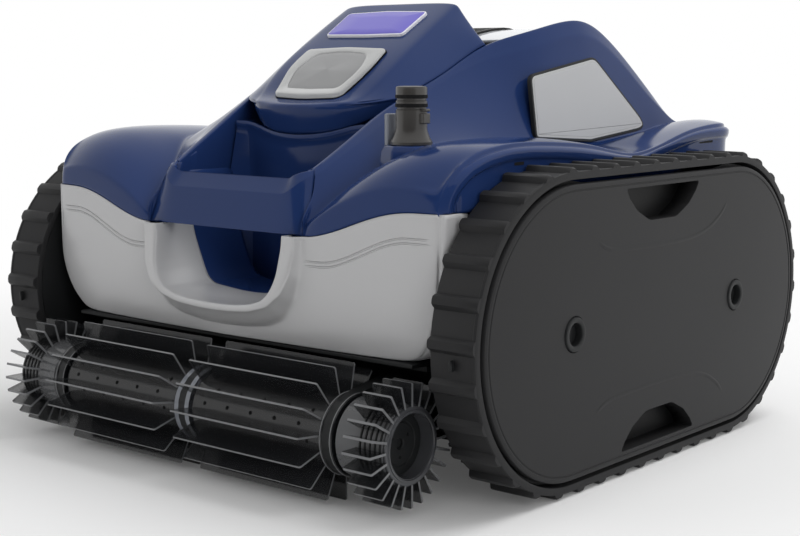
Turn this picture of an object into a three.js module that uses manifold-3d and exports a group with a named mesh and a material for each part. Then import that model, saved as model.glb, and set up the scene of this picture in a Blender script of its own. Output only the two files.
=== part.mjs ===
// Tracked robotic pool cleaner, in millimetres, +Z up, front facing -Y.
// Construction frame: Y = 0 is the front wheel axis, Z = 0 the pool floor, X = 0 the middle plane.
import * as THREE from 'three';
import { mergeVertices } from 'three/addons/utils/BufferGeometryUtils.js';
import Module from 'manifold-3d';

const wasm = await Module();
wasm.setup();

// ---------- driving dimensions ----------
// Overall and clearances
const seatGap = 0.3;              // between two pieces that touch
const runGap = 0.5;               // between a turning piece and its neighbour
const wall = 2.5;                 // moulded shells

// Tracks and wheels
const wheelBase = 188.8;
const beltRadius = 90;            // outer surface of the belt band on a wheel
const beltThickness = 4;
const cleatHeight = 3.2;
const cleatCount = 42;
const cleatTip = 4;
const cleatRoot = 7.5;
const beltWidth = 30;
const wheelInset = 1.5;           // wheel face inside the belt edge
const wheelWidth = 21;
const wheelRimDepth = 9;
const wheelWeb = 5;
const hubRadius = 16;
const axleRadius = 5;
const axleFlangeRadius = 14;
const axleFlangeThick = 3;
const wheelSides = 24;

// Side covers
const coverThick = 5;
const coverInset = 4;              // inner face of the cover inside the belt's outer edge
const coverGap = 2.3;             // between cover edge and belt
const boltHeadRadius = 10;
const boltSocketRadius = 6.5;
const boltSocketDepth = 5;
const boltProud = 1;
const gripLength = 84;
const gripHeight = 20;
const gripMargin = 6;
const gripDepth = 13;
const gripWall = 2;
const gripShoulderX = 0.66;       // shares of the grip's half length and height
const gripShoulderZ = 0.72;
const gripFlat = 0.3;

// Gears
const gearModule = 2.5;
const gearFace = 3.4;
const wheelTeeth = 40;
const layTeeth = 15;
const pinionTeeth = 10;
const gearBacklash = 0.45;
const gearStandoff = 10.2;         // from the side frame to the wheel gears
const wheelStandoff = 1.9;         // from the gear teeth to the wheel
const pinionAngle = 210;          // degrees, from the rear wheel centre
const pumpBehindPinion = 4;
const shaftRadius = 2.5;

// Brush
const brushRadius = 39;
const brushY = -86.4;
const brushZ = 39.3;
const brushShift = 5;             // middle of the brush to the left of the machine's
const drumRadius = 17;
const drumCoreRadius = 15;        // at the gear and in the arm
const sleeveThick = 4.2;
const sleeveGap = 0.3;
const paddleCount = 15;
const paddleThick = 1.6;
const rightPhase = 12.6;          // degrees of the paddles at rest
const leftPhase = 9.6;
const armToHead = 6;              // from an arm's middle plane to the brush head
const armThick = 9;
const armWall = 1.8;
const centerArmThick = 13;
const headLength = 36.7;
const headFins = 24;
const headFinLength = 20.7;
const headFinRadius = 34.5;
const headFinThick = 1.5;
const headRadius = 22.5;
const headRimRadius = 25.6;
const headRimThick = 2.5;
const headRecess = 12.5;
const capRadius = 19.5;
const capThick = 3.2;
const journalRadius = 8;
const centerRingRadius = 23;

// Chassis
const tubHalfWidth = 149.5;
const tubFrontY = -26;
const tubBottomZ = 27;
const tubFloor = 4;
const tubTopZ = 77.5;
const shelfFrontY = -62;
const shelfThick = 3;
const frameThick = 4;
const frameTopZ = 160;
const inletHalfWidth = 47;
const inletFrontY = 12;
const inletDepth = 34;

// Body shells
const bodyFrontY = -79;
const tailOverhang = 76.2;        // tail behind the rear wheel axis
const tubToTail = 19;
const frameToTail = 25;
const rearCornerRadius = 40;
const rearWallTopZ = 198;
const lipStep = 2;
const lipDepth = 7;
const lipRoll = 4;                // from the crease to the fender's outer edge
const crownShare = 0.4;           // place of the deck's crown between foot and lip
const bossRadius = 17;            // under the cable connector
const bossDepth = 12;
const skirtTopZ = 163.3;          // joint line between navy and silver shells
const skirtDropZ = 145.3;
const silverToBelt = 4;
const silverBottomZ = 80.5;
const silverWall = 3;
const silverReturn = 24;
const snoutProud = 6;
const tunnelBackY = -54;
const ridgeWidth = 5;
const barBackY = -66;
const barHalf = 62;
const linerGap = 2.5;             // well behind the mouth is wider than the mouth by this
const linerWall = 3;

// Filter, pump and motor
const housingHalfWidth = 56;
const housingFrontY = -14;
const housingRearY = 78;
const housingBottomZ = 84;
const housingTopZ = 198.5;
const housingCorner = 12;
const basketCorner = 8;
const basketSill = 22;            // basket windows above its floor
const basketHead = 10;
const basketPost = 12;
const basketGap = 2;
const basketLift = 9;
const basketHeight = 94;
const basketWall = 2;
const flapThick = 2;
const flapLift = 0.5;
const flapPinRadius = 1.5;
const motorHalfWidth = 95;
const motorLength = 78;
const motorTopZ = 125;
const motorBossRadius = 9;
const motorBossLength = 14;
const motorChamfer = 12;
const ductInnerRadius = 33;
const ductWall = 3;
const ductTopZ = 243;
const impellerRadius = 31.5;
const impellerHub = 9;
const impellerZ = 172;
const impellerHeight = 20;
const impellerBlades = 4;
const impellerBladeThick = 2;
const impellerBladeTilt = 50;     // degrees
const ductWindow = 28;
const ductWindowHeight = 24;
const ductWindowLift = 6;
const pumpShaftRadius = 3;

// Top panel and outlet grille
const panelGap = 1;
const panelDrop = 4;              // below the arches' ridges
const panelToTail = 9;
const grilleHalf = 40;
const grilleLength = 62;
const grilleToBeam = 3;
const grilleSlot = 5;
const grillePitch = 8;
const grilleBorder = 4;

// Lid
const lidFrontY = -17;
const lidFrontZ = 219.5;
const lidSlope = 0.6;             // rise per length of the lid's top face
const lidRearY = 88;
const lidThick = 3;
const lidEdgeInset = 2.5;
const hingeY = 93;
const hingeZ = 262;
const hingePinRadius = 2;
const knuckleRadius = 4.2;
const knuckleWidth = 10;
const knuckleSpread = 30;
const hingeBeamY = 99;
const hingeBeamDepth = 5;
const hingeBeamHalf = 98;
const hingeBeamLow = 244;
const hingeBeamHigh = 256;
const hingeSideGap = 0.4;         // between a lid knuckle and its ear
const ledgeThick = 2;             // shelf under the lid's rear corners
const ledgeHalf = 48;
const ledgeFrontY = 64;

// Cable connector
const connectorX = 106;
const connectorY = -30;
const connectorZ = 196.5;
const connectorHeight = 33;
const connectorRadius = 9;
const connectorFlange = 12;
const connectorBore = 6;
const connectorBoreDepth = 18;
const oRingSection = 1.2;
const upperRingDrop = 6;          // below the connector's top
const lowerRingDrop = 11;
const connectorBase = 3.7;
const latchWidth = 6;
const latchProud = 2.5;
const latchDrop = 21;

// ---------- sizes that the outlines rest on ----------
const frameX = tubHalfWidth + 0.5;
const gearX = frameX + frameThick + gearStandoff;
const wheelX = gearX + gearFace + wheelStandoff;
const beltInnerX = wheelX - wheelInset;
const coverX = beltInnerX + beltWidth - coverInset;
const halfWidth = coverX + coverThick + boltProud;
const fenderHalfWidth = beltInnerX;
const silverHalfWidth = beltInnerX - silverToBelt;
const headOuterX = gearX - runGap - brushShift;
const headInnerX = headOuterX - headLength;
const armX = headInnerX - armToHead;
const bodyRearY = wheelBase + tailOverhang;
const tubRearY = bodyRearY - tubToTail;
const frameRearY = bodyRearY - frameToTail;

// ---------- outlines: [y, x, z] or [y, z] points along the machine ----------
// Outer top edge of each arch, from the handle bar to the tail: [y, x, z]
const ridgeLine = [
  [-79, 61, 173.5], [-73, 61, 176], [-38, 63, 195], [1, 66, 217], [40, 75, 235], [66, 90, 254],
  [93, 101.5, 262], [bodyRearY - 118, 100.5, 271], [bodyRearY - 95, 101.5, 267.5],
  [bodyRearY - 69, 103.6, 253], [bodyRearY - 36, 108.7, 226], [bodyRearY - 13, 112.5, 206],
  [bodyRearY, 113, 201],
];
// Foot of the arch flank on the deck: [y, x, z]
const footLine = [
  [-79, 66, 149], [-60, 75, 165], [-40, 85, 178], [-20, 100, 191], [0, 106, 195], [30, 109, 196],
  [80, 115, 193], [bodyRearY - 129, 115, 191], [bodyRearY - 85, 115, 197], [bodyRearY - 37, 115, 201],
  [bodyRearY, 116, 197],
];
// Crown of the deck between foot and lip: [y, z]
const crownLine = [
  [-79, 171], [-70, 181], [-56, 190], [-30, 198], [0, 200], [40, 199], [71, 196], [100, 193],
  [bodyRearY - 129, 191], [bodyRearY - 105, 195], [bodyRearY - 85, 201], [bodyRearY - 37, 205],
  [bodyRearY - 15, 203], [bodyRearY, 196],
];
// Rolled fender lip over the track: [y, z of its inner crease, z of its outer edge]
const lipLine = [
  [-79, 175, 171], [-56, 191, 185], [-30, 197, 192.5], [-1, 198.5, 194.5], [40, 197, 192.3],
  [71, 194, 189], [100, 189, 186], [bodyRearY - 136, 188, 187.5], [bodyRearY - 105, 193.5, 193],
  [bodyRearY - 75, 199.8, 197], [bodyRearY - 36, 202.5, 198.2], [bodyRearY - 15, 200.5, 196.5],
  [bodyRearY, 194, 190],
];
// Wave of the joint between the navy and silver shells: [x, z above skirtDropZ as a share of its rise]
const seamLine = [[0, 0], [70, 0], [96, 0.3], [122, 0.82], [137, 1], [silverHalfWidth, 1]];
// Half of the mouth's inner edge and of its raised snout: [x, z]
const mouthLine = [[54, skirtDropZ], [52, 126], [44, 114], [28, 107], [0, 104.5]];
const snoutLine = [[74, 140], [72, 118], [62, 100], [40, 91], [0, 88.5]];
// Half of the silver shell's lower edge: [x, z]
const silverLine = [[silverHalfWidth - 1, 112], [silverHalfWidth - 19, silverBottomZ], [0, silverBottomZ]];
// Half width of the lid's flat top face: [y, x]
const lidTopLine = [[-17, 37], [8, 43], [37, 46], [66, 47.5], [88, 47]];
// Side window in the arch flank: [y, z]
const windowLine = [
  [90, 234], [92, 199], [bodyRearY - 117, 197], [bodyRearY - 43, 205], [bodyRearY - 95, 246],
];
// Plane of the arch flank around the window
const flankX = 115;
const flankZ = 193;
const flankLean = 0.19;
const windowSeal = 2;

// ---------- derived sizes ----------
const rollRadius = beltRadius + cleatHeight;
const wheelZ = rollRadius;
const beltBore = beltRadius - beltThickness;
const wheelRadius = beltBore - runGap;
const coverRadius = beltBore - coverGap;
const sleeveRadius = drumRadius + sleeveGap + sleeveThick;
const wheelGearRadius = gearModule * wheelTeeth / 2;
const layGearRadius = gearModule * layTeeth / 2;
const pinionGearRadius = gearModule * pinionTeeth / 2;
const gearAddendum = 0.8 * gearModule;
const layCentres = 2 * layGearRadius;
const frontCentres = wheelGearRadius + layGearRadius;
const pinionCentres = wheelGearRadius + pinionGearRadius;
const pinionY = wheelBase + pinionCentres * Math.cos(THREE.MathUtils.degToRad(pinionAngle));
const pinionZ = wheelZ + pinionCentres * Math.sin(THREE.MathUtils.degToRad(pinionAngle));
const pumpY = pinionY + pumpBehindPinion;
const armGearX = armX - armThick / 2 + runGap;
const armHousingRadius = layGearRadius + gearAddendum + runGap + armWall;
const lidTilt = Math.atan(lidSlope);
const flankTilt = Math.atan(flankLean);

// The layshaft lies at both gears' centre distances, on the floor side of the line that joins them.
function meetingPoint(ay, az, ra, by, bz, rb) {
  const span = Math.hypot(by - ay, bz - az);
  const along = (ra * ra - rb * rb + span * span) / (2 * span);
  const off = Math.sqrt(ra * ra - along * along);
  const uy = (by - ay) / span;
  const uz = (bz - az) / span;
  return [ay + along * uy + off * uz, az + along * uz - off * uy];
}
const [layY, layZ] = meetingPoint(brushY, brushZ, layCentres, 0, wheelZ, frontCentres);

// ---------- helpers ----------
// Smooth curve through rows [t, ...values]; returns the values at t.
function follow(rows, t) {
  let i = 0;
  while (i < rows.length - 2 && t > rows[i + 1][0]) i += 1;
  const [a, b] = [rows[i], rows[i + 1]];
  const before = rows[Math.max(i - 1, 0)];
  const after = rows[Math.min(i + 2, rows.length - 1)];
  const span = b[0] - a[0];
  const s = THREE.MathUtils.clamp((t - a[0]) / span, 0, 1);
  return a.slice(1).map((p, k) => {
    const q = b[k + 1];
    const m0 = (q - before[k + 1]) / (b[0] - before[0]) * span;
    const m1 = (after[k + 1] - p) / (after[0] - a[0]) * span;
    return (2 * s ** 3 - 3 * s ** 2 + 1) * p + (s ** 3 - 2 * s ** 2 + s) * m0
      + (3 * s ** 2 - 2 * s ** 3) * q + (s ** 3 - s ** 2) * m1;
  });
}

function toSolid(geometry) {
  const plain = geometry.clone();
  plain.deleteAttribute('normal');
  plain.deleteAttribute('uv');
  const welded = mergeVertices(plain, 1e-4);
  return new wasm.Manifold(new wasm.Mesh({
    numProp: 3,
    vertProperties: new Float32Array(welded.attributes.position.array),
    triVerts: new Uint32Array(welded.index.array),
  }));
}

function toGeometry(solid) {
  const mesh = solid.getMesh();
  const geometry = new THREE.BufferGeometry();
  const points = new Float32Array(mesh.numVert * 3);
  for (let i = 0; i < mesh.numVert; i += 1) {
    for (let k = 0; k < 3; k += 1) points[3 * i + k] = mesh.vertProperties[i * mesh.numProp + k];
  }
  geometry.setAttribute('position', new THREE.BufferAttribute(points, 3));
  geometry.setIndex(new THREE.BufferAttribute(new Uint32Array(mesh.triVerts), 1));
  return geometry;
}

const join = (...geometries) => toGeometry(geometries.map(toSolid).reduce((a, b) => a.add(b)));
const cut = (base, ...tools) => toGeometry(tools.map(toSolid).reduce((a, b) => a.subtract(b), toSolid(base)));

function box(x0, x1, y0, y1, z0, z1) {
  const geometry = new THREE.BoxGeometry(x1 - x0, y1 - y0, z1 - z0);
  return geometry.translate((x0 + x1) / 2, (y0 + y1) / 2, (z0 + z1) / 2);
}

const toShape = (points) => new THREE.Shape(points.map(([a, b]) => new THREE.Vector2(a, b)));

// Extrudes an outline of pairs along one axis: pairs are (y, z), (x, z) or (x, y).
function prism(axis, outline, from, to, holes = []) {
  const shape = toShape(outline);
  shape.holes = holes.map(toShape);
  const geometry = new THREE.ExtrudeGeometry(shape, { depth: to - from, bevelEnabled: false });
  const frame = new THREE.Matrix4();
  const [X, Y, Z] = [[1, 0, 0], [0, 1, 0], [0, 0, 1]].map((v) => new THREE.Vector3(...v));
  if (axis === 'x') frame.makeBasis(Y, Z, X).setPosition(from, 0, 0);
  if (axis === 'y') frame.makeBasis(X, Z, Y.clone().negate()).setPosition(0, to, 0);
  if (axis === 'z') frame.setPosition(0, 0, from);
  return geometry.applyMatrix4(frame);
}

function circle(a, b, radius, sides, phase = 0) {
  return Array.from({ length: sides }, (_, i) => {
    const t = phase + 2 * Math.PI * i / sides;
    return [a + radius * Math.cos(t), b + radius * Math.sin(t)];
  });
}

const rodX = (x0, x1, y, z, radius, sides = 24) => prism('x', circle(y, z, radius, sides), x0, x1);
const rodZ = (z0, z1, x, y, radius, sides = 24) => prism('z', circle(x, y, radius, sides), z0, z1);

// Turns a closed profile of (radius, x) pairs about the X axis through (y, z).
function turnedX(profile, y, z, sides = wheelSides) {
  const points = profile.map(([r, x]) => new THREE.Vector2(r, x));
  points.push(points[0].clone());
  const geometry = new THREE.LatheGeometry(points, sides);
  const frame = new THREE.Matrix4().makeBasis(
    new THREE.Vector3(0, 1, 0), new THREE.Vector3(1, 0, 0), new THREE.Vector3(0, 0, -1));
  return outward(geometry.applyMatrix4(frame).translate(0, y, z));
}

function flipped(geometry) {
  const index = geometry.index.array;
  for (let i = 0; i < index.length; i += 3) [index[i], index[i + 1]] = [index[i + 1], index[i]];
  return geometry;
}

// Makes a closed geometry's faces point out.
function outward(geometry) {
  const plain = geometry.clone();
  plain.deleteAttribute('normal');
  plain.deleteAttribute('uv');
  const welded = mergeVertices(plain, 1e-4);
  const p = welded.attributes.position;
  const index = welded.index.array;
  const [a, b, c] = [new THREE.Vector3(), new THREE.Vector3(), new THREE.Vector3()];
  let volume = 0;
  for (let i = 0; i < index.length; i += 3) {
    a.fromBufferAttribute(p, index[i]);
    b.fromBufferAttribute(p, index[i + 1]);
    c.fromBufferAttribute(p, index[i + 2]);
    volume += a.dot(b.cross(c));
  }
  return volume < 0 ? flipped(welded) : welded;
}

const mirrored = (geometry) => outward(geometry.clone().scale(-1, 1, 1));

// Skins rings of [x, y, z] points, all of one length, and caps both ends.
function loft(rings, capPlane) {
  const count = rings[0].length;
  const points = rings.flat(2);
  const index = [];
  for (let i = 0; i < rings.length - 1; i += 1) {
    for (let k = 0; k < count; k += 1) {
      const [a, b] = [i * count + k, i * count + (k + 1) % count];
      index.push(a, b, a + count, b, b + count, a + count);
    }
  }
  const flat = (ring) => ring.map((p) => new THREE.Vector2(p[capPlane[0]], p[capPlane[1]]));
  const turn = THREE.ShapeUtils.isClockWise(flat(rings[0])) ? -1 : 1;
  const cap = (ring, base, reverse) => {
    for (const [a, b, c] of THREE.ShapeUtils.triangulateShape(flat(ring), [])) {
      index.push(...(reverse ? [base + c, base + b, base + a] : [base + a, base + b, base + c]));
    }
  };
  cap(rings[0], 0, turn > 0);
  cap(rings[rings.length - 1], (rings.length - 1) * count, turn < 0);
  const geometry = new THREE.BufferGeometry();
  geometry.setAttribute('position', new THREE.Float32BufferAttribute(points, 3));
  geometry.setIndex(index);
  return outward(geometry);
}

// A full outline from its half, given from the top centre side down to x = 0.
const bothSides = (half) => {
  const left = half.filter(([x]) => x !== 0).map(([x, z]) => [-x, z]).reverse();
  return [...half, ...left];
};

// Moves an outline's points away from its middle by a distance.
function grown(outline, distance) {
  const clockwise = THREE.ShapeUtils.isClockWise(outline.map(([a, b]) => new THREE.Vector2(a, b)));
  const sign = clockwise ? -1 : 1;
  return outline.map((p, i) => {
    const before = outline[(i + outline.length - 1) % outline.length];
    const after = outline[(i + 1) % outline.length];
    const u = new THREE.Vector2(p[0] - before[0], p[1] - before[1]).normalize();
    const v = new THREE.Vector2(after[0] - p[0], after[1] - p[1]).normalize();
    const n = new THREE.Vector2(u.y + v.y, -u.x - v.x).normalize();
    const stretch = distance * sign / Math.max(n.dot(new THREE.Vector2(u.y, -u.x)), 0.5);
    return [p[0] + n.x * stretch, p[1] + n.y * stretch];
  });
}

function gearOutline(teeth, phase, y, z) {
  const radius = gearModule * teeth / 2;
  const half = (Math.PI * gearModule / 2 - gearBacklash) / 2;
  const tip = radius + gearAddendum;
  const root = radius - gearModule;
  const tipAngle = (half - gearAddendum * 0.4) / tip;
  const rootAngle = (half + gearModule * 0.22) / root;
  const points = [];
  for (let i = 0; i < teeth; i += 1) {
    const t = phase + 2 * Math.PI * i / teeth;
    for (const [r, a] of [[root, -rootAngle], [tip, -tipAngle], [tip, tipAngle], [root, rootAngle]]) {
      points.push([y + r * Math.cos(t + a), z + r * Math.sin(t + a)]);
    }
  }
  return points;
}

// Phases that put a tooth of one gear into a gap of the other on the line between their centres.
const toothAt = (fromY, fromZ, toY, toZ) => Math.atan2(toZ - fromZ, toY - fromY);
const gapAt = (fromY, fromZ, toY, toZ, teeth) => toothAt(fromY, fromZ, toY, toZ) + Math.PI / teeth;

function stadium(radius, sides = 12) {
  const points = [];
  for (let i = 0; i <= sides; i += 1) {
    const t = Math.PI / 2 - Math.PI * i / sides;
    points.push([wheelBase + radius * Math.cos(t), wheelZ + radius * Math.sin(t)]);
  }
  for (let i = 0; i <= sides; i += 1) {
    const t = -Math.PI / 2 - Math.PI * i / sides;
    points.push([radius * Math.cos(t), wheelZ + radius * Math.sin(t)]);
  }
  return points;
}

// Point at a distance along the belt's loop, a height above its outer surface.
function beltPoint(distance, height) {
  const arc = Math.PI * beltRadius;
  const loop = 2 * wheelBase + 2 * arc;
  const r = beltRadius + height;
  let s = ((distance % loop) + loop) % loop;
  if (s < wheelBase) return [s, wheelZ - r];
  s -= wheelBase;
  if (s < arc) {
    const t = -Math.PI / 2 + s / beltRadius;
    return [wheelBase + r * Math.cos(t), wheelZ + r * Math.sin(t)];
  }
  s -= arc;
  if (s < wheelBase) return [wheelBase - s, wheelZ + r];
  s -= wheelBase;
  const t = Math.PI / 2 + s / beltRadius;
  return [r * Math.cos(t), wheelZ + r * Math.sin(t)];
}

// ---------- materials ----------
const finish = (color, roughness, metalness = 0) => ({ color, roughness, metalness });
const finishes = {
  navy: finish(0x2c3a62, 0.25),
  silver: finish(0xa9abac, 0.35, 0.3),
  charcoal: finish(0x37383a, 0.6),
  rubber: finish(0x2f3031, 0.8),
  smoke: finish(0x3c3d40, 0.4),
  clear: finish(0xe6e8ea, 0.2),
  frost: finish(0xb4b6b8, 0.35),
  badge: finish(0x6a5fc4, 0.3),
  bronze: finish(0x4b4741, 0.45),
  steel: finish(0xb8bcc0, 0.3, 1),
  nylon: finish(0xd9d6cc, 0.5),
};

const model = new THREE.Group();
function add(name, geometry, kind, parent = model) {
  const mesh = new THREE.Mesh(geometry, new THREE.MeshStandardMaterial(finishes[kind]));
  mesh.name = name;
  parent.add(mesh);
  return mesh;
}
function addPair(name, geometry, kind, shift = 0) {
  add(`${name}_right`, geometry, kind).translateX(shift);
  add(`${name}_left`, mirrored(geometry), kind).translateX(shift);
}

// ---------- track drive, right side ----------
function trackBelt() {
  const loop = 2 * wheelBase + 2 * Math.PI * beltRadius;
  const pitch = loop / cleatCount;
  const outline = [];
  for (let i = 0; i < cleatCount; i += 1) {
    const middle = (i + 0.5) * pitch;
    outline.push(beltPoint(middle - cleatRoot / 2, 0), beltPoint(middle - cleatTip / 2, cleatHeight));
    outline.push(beltPoint(middle + cleatTip / 2, cleatHeight), beltPoint(middle + cleatRoot / 2, 0));
  }
  return prism('x', outline, beltInnerX, beltInnerX + beltWidth, [stadium(beltBore, 24)]);
}

function wheel(y, phase) {
  const inner = wheelX;
  const outer = wheelX + wheelWidth;
  const rim = wheelRadius - wheelRimDepth;
  const body = turnedX([
    [axleRadius + runGap, inner], [wheelRadius, inner], [wheelRadius, outer], [rim, outer],
    [rim, inner + wheelWeb], [hubRadius, inner + wheelWeb], [hubRadius, outer], [axleRadius + runGap, outer],
  ], y, wheelZ);
  const ring = prism('x', gearOutline(wheelTeeth, phase, y, wheelZ), gearX, inner + 0.5,
    [circle(y, wheelZ, hubRadius, 16)]);
  return join(body, ring);
}

function axle(y) {
  const base = frameX + frameThick + seatGap;
  return turnedX([
    [0, base], [axleFlangeRadius, base], [axleFlangeRadius, base + axleFlangeThick],
    [axleRadius, base + axleFlangeThick], [axleRadius, coverX - seatGap], [0, coverX - seatGap],
  ], y, wheelZ, 12);
}

function gripOutline(grow, side) {
  const top = wheelZ + side * (coverRadius - gripMargin);
  const half = gripLength / 2 + grow;
  const mid = wheelBase / 2;
  const edge = top + side * grow;
  const low = top - side * (gripHeight + grow);
  const shoulder = edge - side * gripHeight * gripShoulderZ;
  return [
    [mid - half, edge], [mid + half, edge], [mid + half * gripShoulderX, shoulder],
    [mid + half * gripFlat, low], [mid - half * gripFlat, low], [mid - half * gripShoulderX, shoulder],
  ];
}

function sideCover() {
  const outer = coverX + coverThick;
  const plate = prism('x', stadium(coverRadius), coverX, outer);
  const cups = [1, -1].map((s) => prism('x', gripOutline(gripWall, s), outer - gripDepth - gripWall, outer));
  const pockets = [1, -1].map((s) => prism('x', gripOutline(0, s), outer - gripDepth, outer + 1));
  const holes = [0, wheelBase].map((y) => rodX(coverX - 1, outer + 1, y, wheelZ, boltHeadRadius + seatGap));
  return cut(join(plate, ...cups), ...pockets, ...holes);
}

function coverBolt(y) {
  const face = halfWidth;
  return turnedX([
    [0, coverX], [boltHeadRadius, coverX], [boltHeadRadius, face], [boltSocketRadius, face],
    [boltSocketRadius, face - boltSocketDepth], [0, face - boltSocketDepth],
  ], y, wheelZ, 12);
}

function sideFrame() {
  const outline = [
    [tubFrontY, tubBottomZ], [frameRearY, tubBottomZ], [frameRearY, frameTopZ - 20],
    [frameRearY - 20, frameTopZ], [tubFrontY + 20, frameTopZ], [tubFrontY, frameTopZ - 20],
  ];
  const plate = prism('x', outline, frameX, frameX + frameThick);
  const flangeX = silverHalfWidth - wall - 1;
  const flange = box(frameX, flangeX, tubFrontY + 20, frameRearY - 20, frameTopZ - 3, frameTopZ);
  const opening = rodX(frameX - 1, frameX + frameThick + 1, pinionY, pinionZ, shaftRadius + 2);
  return cut(join(plate, flange), opening);
}

function drivePinion() {
  const phase = gapAt(pinionY, pinionZ, wheelBase, wheelZ, pinionTeeth);
  const gear = prism('x', gearOutline(pinionTeeth, phase, pinionY, pinionZ), gearX, gearX + gearFace);
  const start = motorHalfWidth + motorBossLength + seatGap;
  return join(gear, rodX(start, gearX + 1, pinionY, pinionZ, shaftRadius, 16));
}

// ---------- brush, right half ----------
function layshaft(shift) {
  const outerPhase = gapAt(layY, layZ, 0, wheelZ, layTeeth);
  const innerPhase = toothAt(layY, layZ, brushY, brushZ);
  const inner = armGearX + shift;
  return join(
    prism('x', gearOutline(layTeeth, outerPhase, layY, layZ), gearX, gearX + gearFace),
    prism('x', gearOutline(layTeeth, innerPhase, layY, layZ), inner, inner + gearFace),
    rodX(inner + gearFace - 1, gearX + 1, layY, layZ, shaftRadius, 16),
  );
}

// Arm that carries the brush: a flat gear case whose pocket opens to the middle of the machine.
function brushArm() {
  const lean = Math.atan2(layZ - brushZ, layY - brushY);
  const slot = (radius, back = Math.PI) => {
    const points = [];
    for (let i = 0; i <= 10; i += 1) {
      const t = lean - Math.PI / 2 + back * i / 10;
      points.push([layY + radius * Math.cos(t), layZ + radius * Math.sin(t)]);
    }
    for (let i = 0; i <= 10; i += 1) {
      const t = lean + Math.PI / 2 + Math.PI * i / 10;
      points.push([brushY + radius * Math.cos(t), brushZ + radius * Math.sin(t)]);
    }
    return points;
  };
  const inner = armX - armThick / 2;
  const outer = armX + armThick / 2;
  const foot = box(inner, outer, layY, tubFrontY - seatGap, layZ - 14, layZ + 14);
  const shell = join(prism('x', slot(armHousingRadius), inner, outer), foot);
  return cut(
    shell,
    prism('x', slot(armHousingRadius - armWall), inner - 1, armGearX + gearFace + runGap),
    rodX(inner, outer + 1, layY, layZ, shaftRadius + runGap, 16),
    rodX(inner, outer + 1, brushY, brushZ, drumCoreRadius + runGap, 24),
  );
}

function centerArm() {
  const half = centerArmThick / 2;
  const ring = rodX(-half, half, brushY, brushZ, centerRingRadius, 28);
  const beam = prism('x', [
    [brushY, brushZ + centerRingRadius - 2], [brushY + centerRingRadius * 0.6, brushZ - centerRingRadius * 0.6],
    [tubFrontY - seatGap, tubBottomZ + 8], [tubFrontY - seatGap, tubTopZ - 8],
  ], -half, half);
  return cut(join(ring, beam), rodX(-half - 1, half + 1, brushY, brushZ, journalRadius + runGap));
}

function brushDrum() {
  const drumStart = centerArmThick / 2 + runGap;
  const gearStart = armGearX;
  const phase = gapAt(brushY, brushZ, layY, layZ, layTeeth);
  return join(
    rodX(runGap, drumStart + 1, brushY, brushZ, journalRadius, 16),
    rodX(drumStart, gearStart - runGap, brushY, brushZ, drumRadius, 20),
    rodX(drumStart + 1, gearStart + 1, brushY, brushZ, drumCoreRadius, 20),
    prism('x', gearOutline(layTeeth, phase, brushY, brushZ), gearStart, gearStart + gearFace),
    rodX(gearStart + gearFace - 1, headInnerX - seatGap, brushY, brushZ, drumCoreRadius, 20),
    rodX(headInnerX - 1, headInnerX + 12, brushY, brushZ, journalRadius, 16),
  );
}

const sleeveStart = centerArmThick / 2 + 2 * runGap;
const sleeveEnd = armX - armThick / 2 - 2 * runGap;
function paddleSleeve(phase) {
  const bore = drumRadius + sleeveGap;
  const tube = turnedX([
    [bore, sleeveStart], [sleeveRadius, sleeveStart], [sleeveRadius, sleeveEnd], [bore, sleeveEnd],
  ], brushY, brushZ, 20);
  const blades = Array.from({ length: paddleCount }, (_, i) => {
    const half = paddleThick / 2;
    const blade = box(sleeveStart, sleeveEnd, -half, half, sleeveRadius - 1, brushRadius);
    const turn = 2 * Math.PI * i / paddleCount + THREE.MathUtils.degToRad(phase);
    return blade.rotateX(turn).translate(0, brushY, brushZ);
  });
  return join(tube, ...blades);
}

function brushHead() {
  const bore = journalRadius + sleeveGap;
  const cup = capRadius + sleeveGap;
  const drum = turnedX([
    [bore, headInnerX], [headRadius - 2, headInnerX], [headRadius, headInnerX + 2],
    [headRadius, headOuterX - headRimThick], [headRimRadius, headOuterX - headRimThick],
    [headRimRadius, headOuterX], [cup, headOuterX], [cup, headOuterX - headRecess], [bore, headOuterX - headRecess],
  ], brushY, brushZ, 20);
  const fins = Array.from({ length: headFins }, (_, i) => {
    const half = headFinThick / 2;
    const fin = box(headOuterX - headFinLength, headOuterX - 0.4, -half, half, headRadius - 1, headFinRadius);
    return fin.rotateX(2 * Math.PI * i / headFins + Math.PI / 2).translate(0, brushY, brushZ);
  });
  return join(drum, ...fins);
}

function brushEndCap() {
  const inner = headOuterX - headRecess + seatGap;
  const outer = inner + capThick;
  return turnedX([
    [0, inner], [capRadius, inner], [capRadius, outer], [3, outer], [3, outer - 2], [0, outer - 2],
  ], brushY, brushZ, 16);
}

// ---------- chassis ----------
function chassisTub() {
  const body = join(
    box(-tubHalfWidth, tubHalfWidth, tubFrontY, tubRearY, tubBottomZ, tubBottomZ + tubFloor),
    box(-tubHalfWidth, tubHalfWidth, tubFrontY, tubFrontY + 3, tubBottomZ, tubTopZ),
    box(-tubHalfWidth, tubHalfWidth, tubRearY - 3, tubRearY, tubBottomZ, tubTopZ),
    box(-tubHalfWidth + 6, tubHalfWidth - 6, shelfFrontY, tubFrontY + 1, tubTopZ - shelfThick, tubTopZ),
  );
  const inlet = box(-inletHalfWidth, inletHalfWidth, inletFrontY, inletFrontY + inletDepth, 0, tubTopZ);
  return cut(body, inlet);
}

function intakeDuct() {
  const outer = 3;
  const low = tubBottomZ + tubFloor + seatGap;
  const high = housingBottomZ - seatGap;
  const rear = inletFrontY + inletDepth;
  return cut(
    box(-inletHalfWidth - outer, inletHalfWidth + outer, inletFrontY - outer, rear + outer, low, high),
    box(-inletHalfWidth, inletHalfWidth, inletFrontY, rear, low - 1, high + 1),
  );
}

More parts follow.
